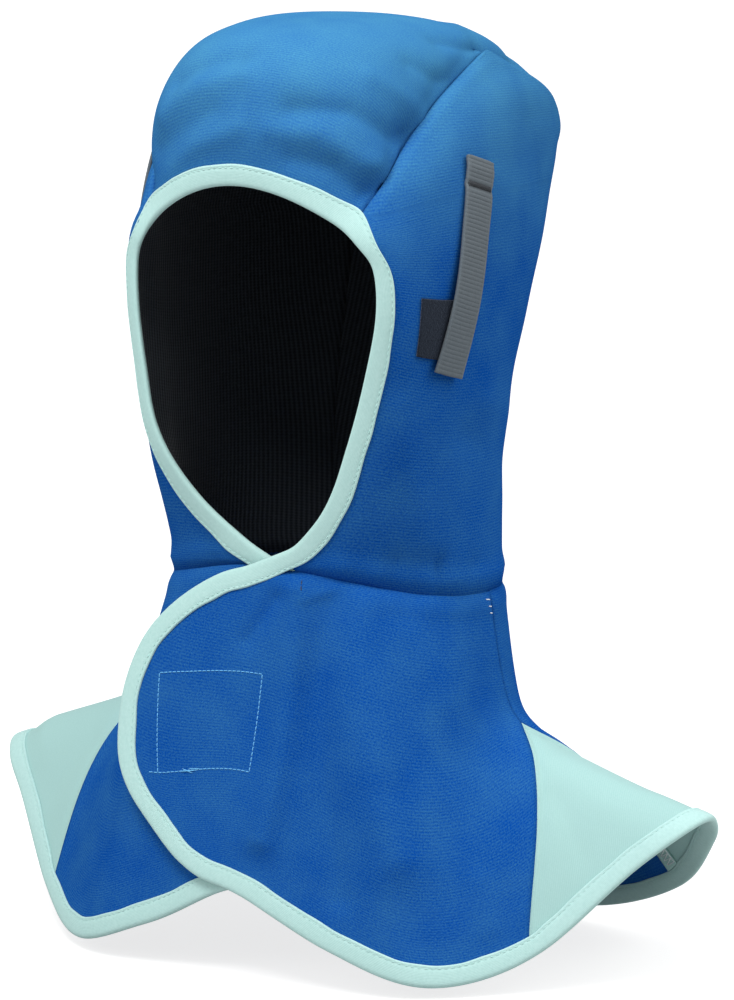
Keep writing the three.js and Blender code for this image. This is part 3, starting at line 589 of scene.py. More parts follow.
# Folds by panel: path in the panel's two coordinates, width and height
CROWN_FOLDS = [
    Fold([(-0.195, -0.42), (-0.188, -0.20), (-0.180, -0.05)], 8, -3.4),
    Fold([(-0.219, -0.50), (-0.212, -0.25), (-0.202, 0.02)], 8, 2.6),
    Fold([(-0.238, -0.60), (-0.235, -0.11)], 6, -1.6),
    Fold([(-0.270, -0.50), (-0.262, -0.25), (-0.250, 0.04)], 7, 2.4),
    Fold([(-0.225, 0.30), (-0.216, 0.42), (-0.198, 0.61), (-0.178, 0.88), (-0.150, 0.97)], 9, -3.6),
    Fold([(-0.246, 0.20), (-0.232, 0.46), (-0.228, 0.72), (-0.215, 0.86)], 8, 2.8),
    Fold([(-0.265, 0.33), (-0.249, 0.57), (-0.256, 0.78)], 7, -2.8),
    Fold([(-0.115, 0.97), (-0.135, 0.80), (-0.150, 0.62)], 8, 2.0),
    Fold([(-0.056, 0.97), (-0.078, 0.88), (-0.095, 0.72)], 7, -2.4),
    Fold([(-0.040, 0.68), (-0.017, 0.82), (0.003, 0.96)], 7, -3.0),
    Fold([(0.020, 0.50), (0.035, 0.80)], 10, 2.4),
    Fold([(0.012, 0.90), (0.030, 0.97)], 8, -3.0),
    Fold([(-0.105, -0.99), (-0.120, -0.86)], 7, -2.4),
    Fold([(-0.040, -0.98), (-0.040, -0.84)], 7, -2.4),
    Fold([(0.060, -0.98), (0.070, -0.80)], 8, -2.4),
    Fold([(0.500, -0.50), (0.900, -0.30)], 11, -2.2),
    Fold([(0.450, 0.45), (0.920, 0.25)], 11, -2.0),
    Fold([(0.720, -0.90), (0.760, 0.10)], 8, -1.6),
    Fold([(0.780, 0.00), (0.740, 0.90)], 8, -1.5),
]
SIDE_FOLDS = {
    LEFT: [
        Fold([(0.005, 0.343), (0.060, 0.341)], 5, -3.0),
        Fold([(0.010, 0.250), (0.060, 0.240)], 7, -1.4),
        Fold([(0.010, 0.440), (0.050, 0.450)], 6, -1.4),
        Fold([(0.100, 0.300), (0.340, 0.160)], 11, 1.6),
        Fold([(0.200, 0.900), (0.300, 0.420)], 12, -2.2),
        Fold([(0.300, 0.950), (0.360, 0.500)], 10, 1.6),
        Fold([(0.420, 0.140), (0.660, 0.120)], 10, 1.2),
        Fold([(0.020, 0.700), (0.100, 0.680)], 7, -1.6),
        Fold([(0.850, 0.620), (0.700, 0.700)], 16, -1.6),
    ],
    RIGHT: [
        Fold([(0.005, 0.343), (0.060, 0.341)], 5, -3.0),
        Fold([(0.010, 0.550), (0.060, 0.540)], 7, -1.6),
        Fold([(0.800, 0.140), (0.720, 0.170)], 16, -4.0),
        Fold([(0.880, 0.100), (0.860, 0.200)], 14, 3.0),
        Fold([(0.340, 0.060), (0.240, 0.090)], 13, -3.5),
        Fold([(0.200, 0.800), (0.320, 0.480)], 12, -2.4),
        Fold([(0.300, 0.950), (0.380, 0.560)], 10, 1.6),
        Fold([(0.600, 0.700), (0.480, 0.900)], 14, -1.8),
    ],
}
FLAP_FOLDS = {
    LEFT: [
        Fold([(13, 0.055), (13, 0.13), (12, 0.25), (11, 0.36), (9.8, 0.54), (8, 0.70), (7, 0.80)], 9, 5.0),
        Fold([(25, 0.050), (21, 0.18), (19, 0.35), (20, 0.51), (24, 0.68), (27, 0.85)], 10, -2.2),
        Fold([(33, 0.08), (31, 0.20), (31, 0.36), (34, 0.52), (40, 0.70)], 17, 4.6),
        Fold([(5, 0.088), (-3.4, 0.21)], 6, -2.0),
        Fold([(15, 0.075), (24, 0.033)], 4, 1.0),
        Fold([(50, 0.120), (60, 0.30)], 14, 1.2),
        Fold([(40, 0.550), (43, 0.95)], 12, -1.2),
        Fold([(58, 0.780), (57, 0.90)], 8, 1.0),
    ],
    RIGHT: [
        Fold([(50, 0.120), (60, 0.30)], 14, 1.2),
        Fold([(45, 0.550), (47, 0.95)], 14, -1.0),
    ],
}
BACK_FOLDS = [
    Fold([(130, 0.05), (134, 0.95)], 14, 2.0),
    Fold([(158, 0.1), (154, 0.95)], 12, -2.4),
    Fold([(184, 0.05), (180, 0.95)], 14, 1.8),
    Fold([(208, 0.1), (212, 0.95)], 12, -2.2),
    Fold([(236, 0.05), (230, 0.95)], 14, 2.0),
]
GUSSET_DENTS = [
    Fold([(78, 0.72), (74, 0.95)], 8, -0.8),
    Fold([(104, 0.70), (108, 0.95)], 8, -0.8),
]
GUSSET_FOLDS = {
    LEFT: GUSSET_DENTS + [Fold([(92, 0.62), (92, 0.80)], 16, -2.0)],
    RIGHT: GUSSET_DENTS + [Fold([(90, 0.60), (90, 0.85)], 22, 4.5)],
}

# Travel over which the side's edge comes to stand over the crown's
LAP_RUN = 0.05

Line = namedtuple("Line", "points out")


def left_right(points, out):
    """A seam line with its outward directions on the wearer's left, and its mirror image."""
    flip = (-1, 1, 1)
    return {LEFT: Line(points, out), RIGHT: Line(points * flip, out * flip)}


def hood_outward(points):
    """Directions out from the upright middle line of the hood."""
    return unit(points - points_of(*HOOD_AXIS, np.clip(points[..., 2], *HOOD_AXIS_HEIGHTS)))


def level_line(points):
    """A seam line with level directions out from the middle of the neck."""
    return Line(points, unit((points - (0, NECK_MIDDLE, 0)) * (1, 1, 0)))


def lap_rise(travel):
    """How far the side's edge stands over the crown's by travel: not at all at the brow and the nape."""
    at_brow = smooth_step(travel, BROW_TRAVEL, BROW_TRAVEL + LAP_RUN)
    return at_brow * (1 - smooth_step(travel, 1 - LAP_RUN, 1))


def cape_line(angle, fall):
    """A seam down the left of the cape with the cape's outward directions, and its mirror image."""
    plain = Panel(cape_point, (0, 0), (180, 1), CAPE_MIDDLE)
    return left_right(cape_point(angle, fall), plain.outward(angle, fall))


SEAM_TRAVEL = np.linspace(BROW_TRAVEL, 1, CROWN_SAMPLES)
SEAM_FALL = np.linspace(0, 1, SEAM_SAMPLES)
SEAM_ACROSS = np.linspace(0, 1, SEAM_SAMPLES)
NAPE_ANGLE = np.linspace(SHOULDER_ANGLE, 360 - SHOULDER_ANGLE, NAPE_SAMPLES)
SEAM_RISE = hood_outward(crown_seam(SEAM_TRAVEL)) * lap_rise(SEAM_TRAVEL)[:, None]
CROWN_SEAM = left_right(crown_seam(SEAM_TRAVEL), SEAM_RISE)
FRONT_SEAM = cape_line(gusset_angle(SEAM_FALL), SEAM_FALL)
BACK_SEAM = cape_line(180 - gusset_angle(SEAM_FALL), SEAM_FALL)
NECK_SEAM = {half: level_line(side_point(half, 0, SEAM_ACROSS)) for half in HALVES}
NAPE_SEAM = level_line(neck_point(np.radians(NAPE_ANGLE)))

# Heights of the seam lines themselves, and how far a panel takes to come to them
SIDE_JOIN = (1.3, 1.6)
CROWN_JOIN = (-2.0, 1.2)
NECK_JOIN = (-0.9, 2.2)
SHOULDER_JOIN = (-0.2, 1.6)


def side_panel(half):
    """Side of the hood: its edge stands up along the crown seam and swells over the neck seam."""
    seams = [
        Seam(*CROWN_SEAM[half], *SIDE_JOIN, 1.0, 4, 4, 0.35, 9, 29),
        Seam(*NECK_SEAM[half], *NECK_JOIN, 1.6, 7, 5.5, 0.8, 13, 26),
    ]

    def surface(level, across):
        """Plain side of one half."""
        return side_point(half, level, across)

    return Panel(surface, (0, 0), (1, 1), HOOD_MIDDLE, seams, SIDE_FOLDS[half])


def crown_panel():
    """Crown of the hood: it tucks down beside its seams with uneven puckers."""
    seams = [
        Seam(*CROWN_SEAM[LEFT], *CROWN_JOIN, -0.8, 5, 4.5, 1.2, 11, 31),
        Seam(*CROWN_SEAM[RIGHT], *CROWN_JOIN, -0.8, 5, 4.5, 1.2, 11, 27),
        Seam(*NAPE_SEAM, *NECK_JOIN, 1.6, 7, 5.5, 0.8, 13, 24),
    ]
    return Panel(crown_point, (BROW_TRAVEL, -1), (1, 1), HOOD_MIDDLE, seams, CROWN_FOLDS)


def front_panel(half):
    """Front of the cape: it starts under the neck seam and laps the gusset with a turned edge."""
    seams = [
        Seam(*NECK_SEAM[half], *NECK_JOIN, 0.5, 7, 4, 0.5, 15, 25),
        Seam(*FRONT_SEAM[half], *SHOULDER_JOIN, 0.8, 3.5, 2.5, 0.25, 7, 21),
    ]
    low, high = (FLAP_EDGE["angle"].min(), 0), (SHOULDER_ANGLE, 1)

    def surface(angle, fall):
        """Plain front of one half."""
        return front_point(half, angle, fall)

    return Panel(surface, low, high, CAPE_MIDDLE, seams, FLAP_FOLDS[half])


def back_panel():
    """Back of the cape, lapped over both gussets."""
    seams = [
        Seam(*NAPE_SEAM, *NECK_JOIN, 0.5, 7, 4, 0.6, 15, 28),
        Seam(*BACK_SEAM[LEFT], *SHOULDER_JOIN, 0.8, 3.5, 2.5, 0.25, 7, 23),
        Seam(*BACK_SEAM[RIGHT], *SHOULDER_JOIN, 0.8, 3.5, 2.5, 0.25, 7, 19),
    ]
    low, high = (GUSSET_FRONT_ANGLE, 0), (360 - GUSSET_FRONT_ANGLE, 1)
    return Panel(cape_point, low, high, CAPE_MIDDLE, seams, BACK_FOLDS)


def gusset_panel(half):
    """Shoulder gusset: it dips beside the panels that lap it."""
    seams = [
        Seam(*FRONT_SEAM[half], *SHOULDER_JOIN, -0.7, 2.5, 2.5, 0.2, 6, 17),
        Seam(*BACK_SEAM[half], *SHOULDER_JOIN, -0.7, 2.5, 2.5, 0.2, 6, 22),
    ]
    low, high = (GUSSET_FRONT_ANGLE, GUSSET_TOP), (GUSSET_BACK_ANGLE, 1)

    def surface(angle, fall):
        """Plain cape of one half."""
        return cape_point(angle, fall) * (half.sign, 1, 1)

    return Panel(surface, low, high, CAPE_MIDDLE, seams, GUSSET_FOLDS[half])


CROWN = crown_panel()
SIDE = {half: side_panel(half) for half in HALVES}
FRONT = {half: front_panel(half) for half in HALVES}
GUSSET = {half: gusset_panel(half) for half in HALVES}
BACK = back_panel()

# Ways from an edge into its panel in the panel's coordinates, and a place in the middle of a front
SIDE_INWARD = (0, 0.2)
CROWN_INWARD = (0.02, 0)
HEM_INWARD = (0, -0.1)
FRONT_HEART = (25.0, 0.5)

# Ranges of a coordinate in which a tape's width ends
NECK_SEARCH = 0.5
BROW_SEARCH = 0.2
HEM_SEARCH = 0.3

Border = namedtuple("Border", "edge inner")


def face_border(half):
    """Free edge of a side panel from the chin to the brow, and the tape's inner line on it."""
    surface = SIDE[half].surface
    level = evenly(lambda t: surface(t, 0), CHIN_LEVEL, BROW_LEVEL, FACE_STEPS)
    edge = np.stack([level, 0 * level], axis=-1)
    neck = tape_width_along(lambda t: surface(CHIN_LEVEL, 0) if t == 0 else surface(0, t), NECK_SEARCH)
    brow = BROW_LEVEL + tape_width_along(lambda t: surface(BROW_LEVEL + t, 0), BROW_SEARCH)
    return Border(edge, inset_edge(surface, edge, (0, neck), (brow, 0), edge + SIDE_INWARD))


def brow_border():
    """Free edge of the crown from the wearer's right to the left."""
    across = evenly(lambda t: crown_point(BROW_TRAVEL, t), -1, 1, CROWN_STEPS)
    edge = np.stack([0 * across + BROW_TRAVEL, across], axis=-1)
    start = FACE[LEFT].inner[-1][0] - 1
    return Border(edge, inset_edge(crown_point, edge, (start, -1), (start, 1), edge + CROWN_INWARD))


def flap_border(half):
    """Free edge of a front panel: round the flap from the neck, then along the hem to the gusset."""
    surface = FRONT[half].surface

    def at(place):
        """Angle and fall at a place along the edge."""
        return along(FLAP_EDGE, "place", "angle", place), along(FLAP_EDGE, "place", "fall", place)

    flap = evenly(lambda place: surface(*at(place)), 0, FLAP_TURN, FLAP_STEPS)
    hem = evenly(lambda place: surface(*at(place)), FLAP_TURN, FLAP_END, HEM_STEPS)
    edge = np.stack(at(np.concatenate([flap, hem[1:]])), axis=-1)
    fall = 1 - tape_width_along(lambda t: surface(gusset_angle(1 - t), 1 - t), HEM_SEARCH)
    last = (float(gusset_angle(fall)), fall)
    inside = np.broadcast_to(FRONT_HEART, edge.shape)
    move = square_move(surface, edge, inside)
    first = step_on_surface(surface, edge[:1, 0], edge[:1, 1], move[:1])[0]
    return Border(edge, inset_edge(surface, edge, first, last, inside))


def back_angle(fall):
    """Angle of the gusset's back seam at a fall."""
    return 180 - gusset_angle(fall)


def hem_border(surface, start, end, seam_angle, steps):
    """Free hem from one seam to its mirror image, whose ends run up the seams."""
    angle = evenly(lambda t: surface(t, 1.0), start, end, steps)
    edge = np.stack([angle, 0 * angle + 1], axis=-1)
    fall = 1 - tape_width_along(lambda t: surface(seam_angle(1 - t), 1 - t), HEM_SEARCH)
    first = (float(seam_angle(fall)), fall)
    last = (start + end - first[0], fall)
    return Border(edge, inset_edge(surface, edge, first, last, edge + HEM_INWARD))


def gusset_hem(half):
    """Free hem of a gusset."""
    ends = (GUSSET_FRONT_ANGLE, GUSSET_BACK_ANGLE)
    return hem_border(GUSSET[half].surface, *ends, gusset_angle, GUSSET_STEPS)


def back_hem():
    """Free hem of the back."""
    ends = (GUSSET_BACK_ANGLE, 360 - GUSSET_BACK_ANGLE)
    return hem_border(BACK.surface, *ends, back_angle, BACK_STEPS)


FACE = {half: face_border(half) for half in HALVES}
BROW = brow_border()
FLAP = {half: flap_border(half) for half in HALVES}
GUSSET_HEM = {half: gusset_hem(half) for half in HALVES}
BACK_HEM = back_hem()

CROWN.bind(BROW)
BACK.bind(BACK_HEM)
for one_half in HALVES:
    SIDE[one_half].bind(FACE[one_half])
    FRONT[one_half].bind(FLAP[one_half])
    GUSSET[one_half].bind(GUSSET_HEM[one_half])

# Least step in level between rows of a side, and the share of the crown's rows that come to even steps
ROW_GAP = 0.004
BROW_BLEND = 0.06


def side_grid(half):
    """Rows of a side panel from under the tape to the back seam, then up to the point of the seam."""
    edge, inner = FACE[half]
    inner = inner.copy()
    inner[:, 0] = np.minimum(inner[:, 0], inner[-1, 0] - ROW_GAP * np.arange(len(inner))[::-1])
    top = np.linspace(inner[-1][0], 1, TOP_STEPS)[1:]
    inner = np.concatenate([inner, np.stack([top, 0 * top], axis=-1)])
    starts = inner.copy()
    starts[:FACE_STEPS] = mixed(edge, inner[:FACE_STEPS], UNDER_TAPE)
    ends = np.stack([np.maximum(inner[:, 0], 0), np.ones(len(inner))], axis=-1)
    under = ruled(starts, inner, TAPE_STEPS)
    return np.concatenate([under[:, :-1], ruled(inner, ends, SIDE_STEPS)], axis=1)


def crown_grid():
    """Rows of the crown from under the brow tape over the top and down the back, each parted evenly."""
    edge, inner = BROW
    middle = evenly(lambda t: crown_point(t, 0), inner[len(inner) // 2][0], 1, CROWN_ROWS)
    share = ((middle - middle[0]) / (middle[-1] - middle[0]))[:, None]
    travel = inner[None, :, 0] + (1 - inner[None, :, 0]) * share
    even = np.stack([evenly(lambda t: crown_point(row, t), -1, 1, CROWN_STEPS) for row in middle])
    blend = smooth_step(share, 0, BROW_BLEND)
    body = np.stack([travel, inner[None, :, 1] * (1 - blend) + even * blend], axis=-1)
    under = ruled(mixed(edge, inner, UNDER_TAPE), inner, TAPE_STEPS).transpose(1, 0, 2)
    return np.concatenate([under[:-1], body])


def front_grid(half):
    """Front panel filled in between the flap's edge, the hem, the neck seam and the gusset seam."""
    edge, inner = FLAP[half]
    border = mixed(edge, inner, UNDER_TAPE)
    neck = (neck_angle(half), 0.0)
    start = ruled(np.array([neck]), border[:1], FLAP_START_STEPS)[0]
    left = np.concatenate([start[:-1], border[:FLAP_STEPS]])
    bottom = border[FLAP_STEPS - 1:]
    top = np.stack([np.linspace(neck[0], SHOULDER_ANGLE, len(bottom)), np.zeros(len(bottom))], axis=-1)
    fall = np.linspace(0, border[-1][1], len(left))
    right = np.stack([gusset_angle(fall), fall], axis=-1)
    right[-1] = border[-1]
    return filled(top, bottom, left, right)


def neck_angle(half):
    """Angle on the neck oval where the tape's inner line meets the neck seam."""
    edge = SIDE_LEVELS["front"][0][0] + SIDE_LEVELS["lean"][0] * half.sign
    start = math.asin(min(edge, 0) / NECK_HALF_WIDTH)
    return math.degrees(start + (math.pi / 2 - start) * 2 * FACE[half].inner[0][1])


def gusset_grid(half):
    """Gusset rows that widen from its point to under the tape."""
    edge, inner = GUSSET_HEM[half]
    hem = mixed(edge, inner, UNDER_TAPE)
    fall = GUSSET_TOP + (hem[None, :, 1] - GUSSET_TOP) * np.linspace(0, 1, GUSSET_ROWS)[:, None]
    front = gusset_angle(fall)
    share = np.linspace(0, 1, GUSSET_STEPS)[None]
    grid = np.stack([front + (180 - 2 * front) * share, fall], axis=-1)
    grid[-1] = hem
    return grid


def back_grid():
    """Back of the cape from the neck seam to under the hem tape."""
    edge, inner = BACK_HEM
    hem = mixed(edge, inner, UNDER_TAPE)
    fall = hem[None, :, 1] * np.linspace(0, 1, BACK_ROWS)[:, None]
    start = back_angle(fall)
    share = np.linspace(0, 1, BACK_STEPS)[None]
    grid = np.stack([start + (360 - 2 * start) * share, fall], axis=-1)
    grid[-1] = hem
    return grid


def grid_faces(rows, cols, closed=False):
    """Quads of a grid; a closed one joins its last row to its first."""
    k = np.arange(rows * cols).reshape(rows, cols)
    k = np.concatenate([k, k[:1]]) if closed else k
    return np.stack([k[:-1, :-1], k[:-1, 1:], k[1:, 1:], k[1:, :-1]], axis=-1).reshape(-1, 4)


def flat_of(grid):
    """Place of a grid's points on the flat cloth: along each row from its middle, and down the middle."""
    steps = np.linalg.norm(np.diff(grid, axis=1), axis=-1)
    across = np.concatenate([np.zeros((len(grid), 1)), np.cumsum(steps, axis=1)], axis=1)
    middle = across.shape[1] // 2
    across = across - across[:, middle:middle + 1]
    down = np.broadcast_to(lengths_of(grid[:, middle])[:, None], across.shape)
    return np.stack([across, down], axis=-1).reshape(-1, 2)


def facing(points, faces, out):
    """Faces turned so that they look along the outward directions."""
    area = np.cross(points[faces[:, 2]] - points[faces[:, 0]], points[faces[:, 3]] - points[faces[:, 1]])
    return faces if (area * out[faces[:, 0]]).sum() > 0 else faces[:, ::-1]


def mesh_piece(name, points, faces, flat, material):
    """An object from points, quads and places on the flat cloth; points that meet are joined."""
    near = np.round(points, MERGE_DIGITS)
    _, first, same = np.unique(near, axis=0, return_index=True, return_inverse=True)
    joined = same.ravel()[faces]
    doubled = joined == np.roll(joined, 1, axis=1)
    whole = ~doubled.any(axis=1)
    partial = [(quad[~twice], flat_quad[~twice]) for quad, flat_quad, twice
               in zip(joined[~whole], faces[~whole], doubled[~whole]) if (~twice).sum() > 2]
    corners = np.concatenate([faces[whole].ravel()] + [flat_quad for _, flat_quad in partial])
    mesh = bpy.data.meshes.new(name)
    polygons = joined[whole].tolist() + [quad.tolist() for quad, _ in partial]
    mesh.from_pydata((points[first] * MM).tolist(), [], polygons)
    mesh.uv_layers.new(name="flat").data.foreach_set("uv", (flat[corners] * MM).ravel())
    mesh.shade_smooth()
    mesh.materials.append(material)
    piece = bpy.data.objects.new(name, mesh)
    bpy.context.scene.collection.objects.link(piece)
    return piece


# Side of a surface to which a sheet gets its thickness
BOTH_SIDES = 0.0
OUTSIDE = 1.0
INSIDE = -1.0


def thicken(piece, thickness, offset=BOTH_SIDES):
    """Give a sheet its thickness about its surface, or to one side of it."""
    solid = piece.modifiers.new("thickness", "SOLIDIFY")
    solid.thickness = thickness * MM
    solid.offset = offset
    return piece


def grid_piece(name, points, out, material, thickness, offset=BOTH_SIDES):
    """A sheet from a grid of points and the directions square to it, with its thickness."""
    flat_points, flat_out = points.reshape(-1, 3), out.reshape(-1, 3)
    faces = facing(flat_points, grid_faces(*points.shape[:2]), flat_out)
    return thicken(mesh_piece(name, flat_points, faces, flat_of(points), material), thickness, offset)


def side_piece(name, half, material):
    """A side panel whose edges turn down along the crown seam to where the crown ends."""
    grid = side_grid(half)
    points, out = SIDE[half].dressed(grid)
    ends = []
    for column, travel in ((0, grid[:, 0, 0] - 1), (-1, 1 - grid[:, -1, 0])):
        drop = (SIDE_JOIN[0] - CROWN_JOIN[0]) * lap_rise(travel)
        ends.append(points[:, column] - hood_outward(points[:, column]) * drop[:, None])
    points = np.concatenate([ends[0][:, None], points, ends[1][:, None]], axis=1)
    out = np.concatenate([out[:, :1], out, out[:, -1:]], axis=1)
    return grid_piece(name, points, out, material, CLOTH_THICKNESS)


def panel_piece(name, panel, grid, material):
    """A panel of cloth with its relief and its thickness."""
    return grid_piece(name, *panel.dressed(grid), material, CLOTH_THICKNESS)


# Binding tape: stations round it, the stations it is smoothed over, and the same at the brow's corners,
# with the reach of those corners and how far the tape lifts there
TAPE_STATIONS = 1290
TAPE_SMOOTHING = 4
BROW_SMOOTHING = 9
BROW_TURN = 34
BROW_LIFT = 0.6

# Waver of its inner edge: reach, travel by station and pitch
TAPE_WAVER = 0.35
WAVER_STEP = 2.4
WAVER_PITCH = 47

# Its section from the inner line (share 0) over the outside to the edge, round and back inside
TAPE_SECTION = columns(("share", "height", "beyond"), [
    (0.000, 0.85, 0.0),
    (0.004, 1.25, 0.0),
    (0.020, 1.60, 0.0),
    (0.060, 1.82, 0.0),
    (0.110, 1.84, 0.0),
    (0.150, 1.74, 0.0),
    (0.180, 1.68, 0.0),
    (0.210, 1.74, 0.0),
    (0.260, 1.88, 0.0),
    (0.400, 1.98, 0.0),
    (0.600, 2.02, 0.0),
    (0.800, 1.98, 0.0),
    (0.930, 1.90, 0.0),
    (1.000, 1.75, 0.0),
    (1.000, 1.40, 0.8),
    (1.000, 0.75, 1.3),
    (1.000, 0.00, 1.5),
    (1.000, -0.75, 1.3),
    (1.000, -1.40, 0.8),
    (1.000, -1.75, 0.0),
    (0.800, -1.85, 0.0),
    (0.450, -1.80, 0.0),
    (0.220, -1.55, 0.0),
    (0.170, -1.30, 0.0),
    (0.120, -1.55, 0.0),
    (0.040, -1.55, 0.0),
    (0.000, -0.85, 0.0),
])

# Stitches along it: place on the section, pitch, and the share of the pitch that thread covers
STITCH_SHARE = 0.18
STITCH_HEIGHT = 1.68
STITCH_PITCH = 3.2
STITCH_COVER = 0.74

TapeTrack = namedtuple("TapeTrack", "edge inner edge_out inner_out")


def smoothed(track, reach):
    """Running mean round a closed track, weighted by a bell window that reaches so many stations."""
    window = np.hanning(2 * reach + 3)[1:-1]
    shifts = range(-reach, reach + 1)
    return sum(w * np.roll(track, s, axis=0) for w, s in zip(window / window.sum(), shifts))


def tape_track():
    """The tape's edge and inner lines with their outward directions, once round every free edge."""
    runs = [
        (CROWN, BROW, 1),
        (SIDE[LEFT], FACE[LEFT], -1),
        (FRONT[LEFT], FLAP[LEFT], 1),
        (GUSSET[LEFT], GUSSET_HEM[LEFT], 1),
        (BACK, BACK_HEM, 1),
        (GUSSET[RIGHT], GUSSET_HEM[RIGHT], -1),
        (FRONT[RIGHT], FLAP[RIGHT], -1),
        (SIDE[RIGHT], FACE[RIGHT], 1),
    ]
    parts = []
    for panel, border, order in runs:
        edge, edge_out = panel.dressed(border.edge[::order])
        inner, inner_out = panel.dressed(border.inner[::order])
        parts.append(np.concatenate([edge, inner, edge_out, inner_out], axis=1)[:-1])
    track = np.concatenate(parts)
    track = np.concatenate([track, track[:1]])
    length = lengths_of(track[:, :3])
    at = np.linspace(0, length[-1], TAPE_STATIONS, endpoint=False)
    track = at_length(track, length, at)
    gap = np.abs(at[:, None] - length[[0, len(parts[0])]])
    near = bump(np.minimum(gap, length[-1] - gap), BROW_TURN).max(axis=1)[:, None]
    track = smoothed(track, TAPE_SMOOTHING) * (1 - near) + smoothed(track, BROW_SMOOTHING) * near
    edge, inner, edge_out, inner_out = np.split(track, 4, axis=1)
    edge_out, inner_out = unit(edge_out), unit(inner_out)
    lift = BROW_LIFT * near
    return TapeTrack(edge + edge_out * lift, inner + inner_out * lift, edge_out, inner_out)


def tape_point(track, share, height, beyond=0.0):
    """Points of the tape: between its lines by a share, lifted off the cloth and out past the edge."""
    width = track.edge - track.inner
    out = unit(track.inner_out * (1 - share) + track.edge_out * share)
    return track.inner + width * share + out * height + unit(width) * beyond


def binding_tape(track, material):
    """Folded tape swept once round: its inner edge wavers as sewn tape does."""
    waver = TAPE_WAVER * ripple(np.arange(TAPE_STATIONS) * WAVER_STEP, WAVER_PITCH)
    track = track._replace(inner=track.inner + unit(track.inner - track.edge) * waver[:, None])
    rings = [tape_point(track, s, h, b) for s, h, b in zip(*TAPE_SECTION.values())]
    points = np.stack(rings, axis=1)
    side = np.where(TAPE_SECTION["height"] < 0, -1.0, 1.0)
    out = track.edge_out[:, None] * side[None, :, None]
    faces = grid_faces(*points.shape[:2], closed=True)
    flat_points = points.reshape(-1, 3)
    faces = facing(flat_points, faces, out.reshape(-1, 3))
    return mesh_piece("edge_tape", flat_points, faces, flat_of(points), material)


# Thread: a stitch is a short tube that goes down into the cloth at both ends; its radius by place
TAPE_THREAD = 0.22
STRAP_THREAD = 0.22
SQUARE_THREAD = 0.28
SHOULDER_THREAD = 0.3
TAPE_END_THREAD = 0.2
OVERLOCK_THREAD = 0.25
THREAD_SIDES = 5
THREAD_RISE = columns(("share", "rise", "round"), [
    (0.00, -1.0, 0.5),
    (0.22, 0.3, 1.0),
    (0.50, 0.8, 1.0),
    (0.78, 0.3, 1.0),
    (1.00, -1.0, 0.5),
])


def stitches_along(line, out, pitch, cover, radius):
    """Centre lines and directions up of stitches that fill a line, each over a share of the pitch."""
    length = lengths_of(line)
    count = round(length[-1] / pitch)
    pitch = length[-1] / count
    starts = np.arange(count) * pitch
    places = (THREAD_RISE["share"] - 0.5) * cover + 0.5
    at = starts[:, None] + places[None] * pitch
    up = unit(at_length(out, length, at))
    return at_length(line, length, at) + up * (THREAD_RISE["rise"] * radius)[None, :, None], up


def stitches_between(starts, ends, up, radius):
    """Centre lines of stitches from points to points."""
    share = THREAD_RISE["share"][None, :, None]
    rise = (THREAD_RISE["rise"] * radius)[None, :, None]
    up = np.broadcast_to(up[:, None], (len(starts), len(THREAD_RISE["share"]), 3))
    return starts[:, None] * (1 - share) + ends[:, None] * share + up * rise, up


def thread_piece(name, stitches, radius, material):
    """Tubes of thread about centre lines, closed at both ends by a point."""
    centres = np.concatenate([centre for centre, _ in stitches])
    up = np.concatenate([direction for _, direction in stitches])
    tangent = unit(np.gradient(centres, axis=1))
    sideways = unit(np.cross(tangent, up))
    lift = np.cross(sideways, tangent)
    turn = np.linspace(0, 2 * np.pi, THREAD_SIDES + 1)
    round_off = (THREAD_RISE["round"] * radius)[None, :, None, None]
    ring = sideways[:, :, None] * np.cos(turn)[:, None] + lift[:, :, None] * np.sin(turn)[:, None]
    tubes = centres[:, :, None] + ring * round_off
    tips = np.broadcast_to(centres[:, [0, -1], None], (len(centres), 2, THREAD_SIDES + 1, 3))
    tubes = np.concatenate([tips[:, :1], tubes, tips[:, 1:]], axis=1)
    count, rings, sides = tubes.shape[:3]
    faces = grid_faces(rings, sides)[None] + (np.arange(count) * rings * sides)[:, None, None]
    flat = np.zeros((count * rings * sides, 2))
    return mesh_piece(name, tubes.reshape(-1, 3), faces.reshape(-1, 4)[:, ::-1], flat, material)


# Straps of webbing down the sides, sewn at the top, with a patch of loop pile under the free end
STRAP_WIDTH = 20
STRAP_THICKNESS = 1.5
STRAP_ENDS = {LEFT: ((0.798, 0.378), (0.412, 0.324)), RIGHT: ((0.88, 0.2), (0.5, 0.37))}
STRAP_ROWS = 360
STRAP_COLUMNS = 15
STRAP_PASSES = 4
RIB_PITCH = 2.0
RIB_HEIGHT = 0.16
SELVEDGE_RUN = (0.8, 0.9)

# Height of a strap off the cloth by share of its length: its rise over the patch, the bow below its
# tack, the tack's dent and a swell above it
STRAP_LIFT = 1.3
STRAP_OVER_PATCH = 1.7
STRAP_RISE = (0.25, 0.7)
STRAP_BOW = 0.8
STRAP_TACK = 0.13
STRAP_SWELLS = columns(("at", "width", "height"), [
    (STRAP_TACK, 0.018, -0.7),
    (0.05, 0.030, 0.5),
])
TACK_REACH = 5
TACK_STITCHES = 26

# Patch on the side panel: thickness, lift, height in levels, and its sides from the strap's end
PATCH_THICKNESS = 1.2
PATCH_LIFT = 1.2
PATCH_HEIGHT = 0.103
PATCH_ACROSS = (-0.114, 0.011)
PATCH_ABOVE_END = 0.025
PATCH_STEPS = 40


